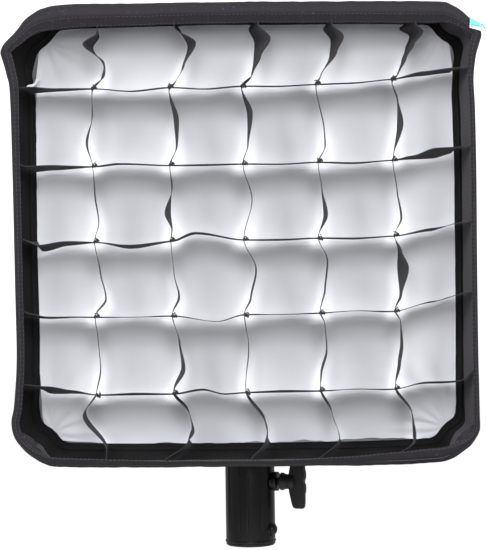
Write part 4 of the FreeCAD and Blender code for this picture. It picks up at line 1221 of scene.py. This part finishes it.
def math_node(tree, operation, a, b=None, c=None):
    """A Math node whose inputs are numbers or sockets."""
    node = tree.nodes.new("ShaderNodeMath")
    node.operation = operation
    for socket, value in zip(node.inputs, (a, b, c)):
        if value is None:
            continue
        if isinstance(value, (int, float)):
            socket.default_value = value
        else:
            tree.links.new(value, socket)
    return node.outputs[0]


def noise_node(tree, place, scale, detail=3.0, roughness=0.55):
    node = tree.nodes.new("ShaderNodeTexNoise")
    node.inputs["Scale"].default_value = scale
    node.inputs["Detail"].default_value = detail
    node.inputs["Roughness"].default_value = roughness
    tree.links.new(place, node.inputs["Vector"])
    return node.outputs["Fac"]


FLOAT = "NodeSocketFloat"
VECTOR = "NodeSocketVector"

# plain weave: threads over and under each other
weave, start, end = new_group(
    "plain weave", [("Place", VECTOR, None), ("Pitch", FLOAT, 0.001)], [("Height", FLOAT)],
)
split = weave.nodes.new("ShaderNodeSeparateXYZ")
weave.links.new(start.outputs["Place"], split.inputs[0])
turns = math_node(weave, "DIVIDE", math.pi, start.outputs["Pitch"])
warp = math_node(weave, "SINE", math_node(weave, "MULTIPLY", split.outputs[0], turns))
weft = math_node(weave, "SINE", math_node(weave, "MULTIPLY", split.outputs[1], turns))
crossing = math_node(weave, "MULTIPLY", warp, weft)
hill = math_node(weave, "MULTIPLY_ADD", crossing, 0.5, 0.5)
uneven = noise_node(weave, start.outputs["Place"], 900, 2)
weave.links.new(math_node(weave, "MULTIPLY_ADD", uneven, 0.5, hill), end.inputs["Height"])

# twill: diagonal ribs
twill, start, end = new_group(
    "twill", [("Place", VECTOR, None), ("Pitch", FLOAT, 0.001)], [("Height", FLOAT)],
)
split = twill.nodes.new("ShaderNodeSeparateXYZ")
twill.links.new(start.outputs["Place"], split.inputs[0])
turns = math_node(twill, "DIVIDE", 2 * math.pi, start.outputs["Pitch"])
slant = math_node(twill, "MULTIPLY_ADD", split.outputs[1], 1.25, split.outputs[0])
waver = math_node(twill, "MULTIPLY_ADD", noise_node(twill, start.outputs["Place"], 60, 2), 0.003, slant)
rib = math_node(twill, "SINE", math_node(twill, "MULTIPLY", waver, turns))
faint = noise_node(twill, start.outputs["Place"], 700, 2)
twill.links.new(math_node(twill, "MULTIPLY_ADD", rib, 0.4, faint), end.inputs["Height"])

# wear: large soft patches and small specks of dust
wear, start, end = new_group("wear", [("Place", VECTOR, None)], [("Patches", FLOAT), ("Dust", FLOAT)])
wear.links.new(noise_node(wear, start.outputs["Place"], 9, 4), end.inputs["Patches"])
specks = noise_node(wear, start.outputs["Place"], 420, 4, 0.7)
dust = math_node(wear, "MULTIPLY", math_node(wear, "SUBTRACT", specks, 0.62), 9.0)
wear.links.new(math_node(wear, "MINIMUM", math_node(wear, "MAXIMUM", dust, 0.0), 1.0), end.inputs["Dust"])
print("node groups:", [group.name for group in bpy.data.node_groups])

# %% [markdown]
# Every woven cloth uses one recipe: two close colours for the hollows and the threads, soft patches,
# a little dust, and a bump from the weave. Only the pattern, the pitch and the colours differ, so one
# function makes them all, and each cloth stays a material of its own.

# %% Cloth finishes
def group_node(tree, group, **values):
    node = tree.nodes.new("ShaderNodeGroup")
    node.node_tree = group
    for title, value in values.items():
        if isinstance(value, (int, float)):
            node.inputs[title].default_value = value
        else:
            tree.links.new(value, node.inputs[title])
    return node


def mix_colour(tree, share, a, b):
    node = tree.nodes.new("ShaderNodeMix")
    node.data_type = "RGBA"
    if isinstance(share, (int, float)):
        node.inputs[0].default_value = share
    else:
        tree.links.new(share, node.inputs[0])
    for socket, value in ((node.inputs[6], a), (node.inputs[7], b)):
        if isinstance(value, tuple):
            socket.default_value = (*value, 1.0)
        else:
            tree.links.new(value, socket)
    return node.outputs[2]


def bump(tree, height, strength, distance):
    node = tree.nodes.new("ShaderNodeBump")
    node.inputs["Strength"].default_value = strength
    node.inputs["Distance"].default_value = distance
    tree.links.new(height, node.inputs["Height"])
    return node.outputs["Normal"]


def start_finish(name):
    """A new material with its shader, and its tree."""
    material = bpy.data.materials.new(name)
    material.use_nodes = True
    tree = material.node_tree
    return material, tree, tree.nodes["Principled BSDF"]


def share_between(tree, value, low, high):
    """A 0 to 1 value stretched to run from low to high."""
    return math_node(tree, "MULTIPLY_ADD", value, high - low, low)


def cloth_finish(
    name, pattern, pitch, dark, light, rough, sheen=0.0, relief=0.00025, strength=0.6, dusty=0.15,
    use_uv=True,
):
    """Woven cloth: two close colours for the hollows and the threads, patches, and dust."""
    material, tree, shader = start_finish(name)
    source = tree.nodes.new("ShaderNodeTexCoord")
    place = source.outputs["Object"]
    printed = source.outputs["UV"] if use_uv else place
    threads = group_node(tree, pattern, Place=printed, Pitch=pitch)
    marks = group_node(tree, wear, Place=place)
    colour = mix_colour(tree, threads.outputs["Height"], dark, light)
    patch = share_between(tree, marks.outputs["Patches"], 0.55, 1.35)
    shaded = tree.nodes.new("ShaderNodeMix")
    shaded.data_type = "RGBA"
    shaded.blend_type = "MULTIPLY"
    shaded.inputs[0].default_value = 0.35
    tree.links.new(colour, shaded.inputs[6])
    tree.links.new(patch, shaded.inputs[7])
    dust_share = math_node(tree, "MULTIPLY", marks.outputs["Dust"], dusty)
    grey = tuple(min(1.0, 0.5 + 0.5 * value) for value in light)
    tree.links.new(mix_colour(tree, dust_share, shaded.outputs[2], grey), shader.inputs["Base Color"])
    tree.links.new(
        share_between(tree, marks.outputs["Patches"], rough - 0.08, rough + 0.08),
        shader.inputs["Roughness"],
    )
    tree.links.new(bump(tree, threads.outputs["Height"], strength, relief), shader.inputs["Normal"])
    shader.inputs["Sheen Weight"].default_value = sheen
    shader.inputs["Sheen Roughness"].default_value = 0.45
    shader.inputs["Specular IOR Level"].default_value = 0.12
    return material, tree, shader


shell_cloth = cloth_finish(
    "black_shell_weave", weave, 0.0009, (0.0110, 0.0100, 0.0122), (0.0235, 0.0215, 0.0256), 0.75, 0.02,
)[0]
silver_cloth, _, silver_shader = cloth_finish(
    "silver_lining_weave", weave, 0.0007, (0.52, 0.53, 0.55), (0.72, 0.73, 0.75), 0.34, 0.0,
)
silver_shader.inputs["Metallic"].default_value = 0.85
loop_cloth = cloth_finish(
    "black_loop_tape", weave, 0.0016, (0.003, 0.003, 0.0035), (0.010, 0.0095, 0.010), 1.0, 0.0,
    0.0006, 0.9, 0.03,
)[0]
grid_cloth = cloth_finish(
    "grid_strip_weave", weave, 0.0008, (0.022, 0.0205, 0.023), (0.044, 0.041, 0.045), 0.75, 0.02, dusty=0.1,
)[0]
tape_cloth = cloth_finish(
    "grid_tape_weave", weave, 0.0010, (0.030, 0.0285, 0.032), (0.062, 0.059, 0.065), 0.75, 0.02, dusty=0.1,
)[0]
twill_cloth = cloth_finish(
    "white_diffuser_twill", twill, 0.0028, (0.83, 0.84, 0.89), (0.885, 0.895, 0.95), 0.75, 0.0,
    0.00012, 0.35, 0.0,
)[0]
white_cloth = cloth_finish(
    "white_ribbon_weave", weave, 0.0008, (0.62, 0.64, 0.68), (0.85, 0.86, 0.90), 0.6, 0.05,
)[0]
thread_finish = cloth_finish(
    "black_thread", twill, 0.0008, (0.012, 0.012, 0.013), (0.04, 0.038, 0.042), 0.6, 0.1, 0.0001,
    0.5, 0.0, False,
)[0]
stitch_finish = cloth_finish(
    "grey_stitch_thread", twill, 0.0008, (0.030, 0.028, 0.031), (0.070, 0.066, 0.072), 0.5, 0.1,
    0.0001, 0.5, 0.0, False,
)[0]

# the upper half of the tab is blue, and the half folded below it is nearly white
tab_cloth, tab_tree, tab_shader = cloth_finish(
    "blue_tab_weave", weave, 0.0008, (0.10, 0.42, 0.58), (0.17, 0.58, 0.76), 0.5, 0.05,
)
tab_split = tab_tree.nodes.new("ShaderNodeSeparateXYZ")
tab_tree.links.new(tab_tree.nodes.new("ShaderNodeTexCoord").outputs["UV"], tab_split.inputs[0])
tab_half = math_node(tab_tree, "GREATER_THAN", tab_split.outputs[0], TAB_FOLD)
tab_blue = tab_shader.inputs["Base Color"].links[0].from_socket
tab_tree.links.new(
    mix_colour(tab_tree, tab_half, tab_blue, (0.72, 0.82, 0.88)), tab_shader.inputs["Base Color"],
)
print("cloth finishes ready")

# %% [markdown]
# The hard parts are black too, but each one catches the light in its own way: the casting is
# painted and slightly pebbled, the mouldings have a fine grain, and steel is smooth.

# %% Hard finishes
def hard_finish(name, dark, light, metal, rough_low, rough_high, grain_scale, grain_depth, coat=0.0):
    """Paint, plastic or metal: uneven gloss, worn patches, and a fine grain."""
    material, tree, shader = start_finish(name)
    place = tree.nodes.new("ShaderNodeTexCoord").outputs["Object"]
    marks = group_node(tree, wear, Place=place)
    grain_height = noise_node(tree, place, grain_scale, 3)
    tree.links.new(mix_colour(tree, marks.outputs["Patches"], dark, light), shader.inputs["Base Color"])
    gloss = math_node(tree, "MULTIPLY_ADD", marks.outputs["Dust"], 0.12, share_between(
        tree, marks.outputs["Patches"], rough_low, rough_high,
    ))
    tree.links.new(gloss, shader.inputs["Roughness"])
    tree.links.new(bump(tree, grain_height, 0.5, grain_depth), shader.inputs["Normal"])
    shader.inputs["Metallic"].default_value = metal
    shader.inputs["Specular IOR Level"].default_value = 0.34
    shader.inputs["Coat Weight"].default_value = coat
    shader.inputs["Coat Roughness"].default_value = 0.3
    return material


hard = {
    "cast_black": hard_finish(
        "black_painted_casting", (0.0015, 0.0017, 0.0022), (0.0045, 0.0047, 0.0055), 0.0, 0.20, 0.32,
        900, 0.00012,
    ),
    "moulded_black": hard_finish(
        "black_moulding", (0.007, 0.007, 0.0075), (0.014, 0.014, 0.015), 0.0, 0.40, 0.56, 1600, 0.00016,
    ),
    "black_steel": hard_finish(
        "blackened_steel", (0.012, 0.012, 0.013), (0.03, 0.03, 0.033), 0.6, 0.25, 0.42, 2200, 0.00006,
    ),
    "frame_metal": hard_finish(
        "black_anodised_tube", (0.018, 0.018, 0.02), (0.04, 0.04, 0.044), 0.75, 0.32, 0.46, 1800,
        0.00005,
    ),
    "clip_metal": hard_finish(
        "black_anodised_clip", (0.022, 0.022, 0.024), (0.05, 0.05, 0.055), 0.75, 0.28, 0.40, 1800,
        0.00005,
    ),
    "rod_fibre": hard_finish(
        "glass_fibre_rod", (0.55, 0.54, 0.46), (0.74, 0.73, 0.66), 0.0, 0.22, 0.4, 500, 0.00008, 0.4,
    ),
    "rubber_black": hard_finish(
        "black_rubber", (0.012, 0.012, 0.012), (0.028, 0.028, 0.028), 0.0, 0.62, 0.8, 1300, 0.00012,
    ),
}
SOFT_FINISH = {
    "shell_fabric": shell_cloth, "silver_fabric": silver_cloth, "loop_tape": loop_cloth,
    "diffusion_cloth": twill_cloth, "grid_fabric": grid_cloth, "thread": thread_finish,
    "ribbon_white": white_cloth, "tab_blue": tab_cloth,
}
for node in nodes.values():
    for place in node.material_slots:
        name = place.material.name
        place.material = hard.get(name) or SOFT_FINISH[name]
print("finishes on", len(nodes), "frame parts")

# %% [markdown]
# Every new piece now gets its finish, rides on the tilting head, and hides the plain solid of the
# frame that it stands for, where it has one.

# %% Dress the head
def dress(piece, finish, slot_name, *stands_for, body="head"):
    piece.data.materials.clear()
    piece.data.materials.append(finish)
    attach(piece, body)
    if stands_for:
        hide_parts(*stands_for)


SIDES = ("top", "bottom", "left", "right")
dress(shell, shell_cloth, "shell_fabric", *[f"shell_{side}" for side in SIDES])
dress(hem, shell_cloth, "shell_fabric", *[f"hem_{side}" for side in SIDES])
dress(lining, silver_cloth, "silver_fabric", "silver_lining")
dress(band, loop_cloth, "loop_tape", "loop_band")
dress(edge_tape, loop_cloth, "loop_tape", "diffuser_edge_tape")
dress(border, tape_cloth, "grid_fabric", "grid_border")
dress(diffuser, twill_cloth, "diffusion_cloth", "diffuser")
for piece in strips:
    dress(piece, grid_cloth, "grid_fabric", "grid_" + piece.name)
dress(knots, thread_finish, "thread", "grid_knots")
dress(ridge_stitches, stitch_finish, "thread")
dress(lip_stitches, stitch_finish, "thread")
dress(seams, shell_cloth, "shell_fabric")
for number, rod in enumerate(rods, start=1):
    dress(rod, hard["rod_fibre"], "rod_fibre", f"corner_rod_{number}")
dress(tips, hard["rubber_black"], "rubber_black", "rod_tips")
dress(pockets, shell_cloth, "shell_fabric", "corner_pockets")
dress(cuff, shell_cloth, "shell_fabric", "rear_cuff")
dress(tab, tab_cloth, "tab_blue", "corner_tab")
dress(ribbon, white_cloth, "ribbon_white", "pull_ribbon")

# %% [markdown]
# The hard parts ride on the body that the frame puts them on, and take the finish that the frame's
# record names for them. Reading both from the record keeps the scene in step with the frame.

# %% Dress the hard parts
dress(receiver, hard["cast_black"], "cast_black", "receiver_casting", body="receiver")
dress(ribs, hard["cast_black"], "cast_black", body="receiver")
dress(handle, hard["moulded_black"], "moulded_black", "t_handle", body="clamp_handle")
dress(screw, hard["black_steel"], "black_steel", "retaining_screw", body="receiver")
slot_of = {part["node"]: part["material_slot"] for part in frame["record"]["subparts"]}
body_of_node = {
    node: body for body, held in frame["record"]["behaviour"]["bodies"].items() for node in held
}
for node, piece in softened.items():
    dress(piece, hard[slot_of[node]], slot_of[node], node, body=body_of_node[node])
print("hard parts dressed")

# %% [markdown]
# Real cloth has a size that it was cut to, and bending it doesn't change its area.

# %% Each cloth's cut size is kept only in its UV map
print("cut sizes are in the UV maps")

# %% [markdown]
# ## Light
# A white room: a pale floor far below, a white surround, and three large soft lights. Two of them
# stand high at the left and right, so that each cell of the grid gets its soft shadow.

# %% Light and floor
FLOOR_HEIGHT = -1.1
FLOOR_GLOW = 0.7
deselect()
bpy.ops.mesh.primitive_plane_add(size=40, location=(0, 0, FLOOR_HEIGHT))
floor = bpy.context.object
floor.name = "floor"
floor_paint, floor_tree, floor_shader = start_finish("pale_floor")
floor_place = floor_tree.nodes.new("ShaderNodeTexCoord").outputs["Object"]
floor_tone = noise_node(floor_tree, floor_place, 0.6, 2)
floor_colour = mix_colour(floor_tree, floor_tone, (0.74, 0.74, 0.74), (0.80, 0.80, 0.80))
floor_tree.links.new(floor_colour, floor_shader.inputs["Base Color"])
floor_shader.inputs["Roughness"].default_value = 0.9
floor_shader.inputs["Emission Color"].default_value = (1.0, 1.0, 1.0, 1.0)
floor_rays = floor_tree.nodes.new("ShaderNodeLightPath")
floor_glow = math_node(floor_tree, "MULTIPLY", floor_rays.outputs["Is Camera Ray"], FLOOR_GLOW)
floor_tree.links.new(floor_glow, floor_shader.inputs["Emission Strength"])
floor.data.materials.append(floor_paint)

room = bpy.data.worlds.new("white room")
bpy.context.scene.world = room
room.use_nodes = True
SEEN_WHITE = 1.3
ROOM_LIGHT = 0.40
background = room.node_tree.nodes["Background"]
background.inputs["Color"].default_value = (1.0, 1.0, 1.0, 1.0)
rays = room.node_tree.nodes.new("ShaderNodeLightPath")
room_strength = math_node(
    room.node_tree, "MULTIPLY_ADD", rays.outputs["Is Camera Ray"], SEEN_WHITE - ROOM_LIGHT, ROOM_LIGHT,
)
room.node_tree.links.new(room_strength, background.inputs["Strength"])
bpy.context.scene.view_settings.view_transform = "Standard"


def soft_light(name, side, height, forward, size, power):
    """A square lamp that points at the box's middle."""
    data = bpy.data.lights.new(name, "AREA")
    data.shape = "SQUARE"
    data.size = size
    data.energy = power
    light = bpy.data.objects.new(name, data)
    light.location = (side, -forward, MIDDLE + height)
    aim = Vector((0, -0.2, MIDDLE)) - Vector(light.location)
    light.rotation_euler = aim.to_track_quat("-Z", "Y").to_euler()
    bpy.context.scene.collection.objects.link(light)
    return light


soft_light("left light", -1.5, 1.3, 1.9, 1.1, 54)
soft_light("right light", 1.5, 1.3, 1.9, 1.1, 54)
soft_light("front light", 0.0, 0.9, 3.4, 1.6, 58)
print("lights placed")
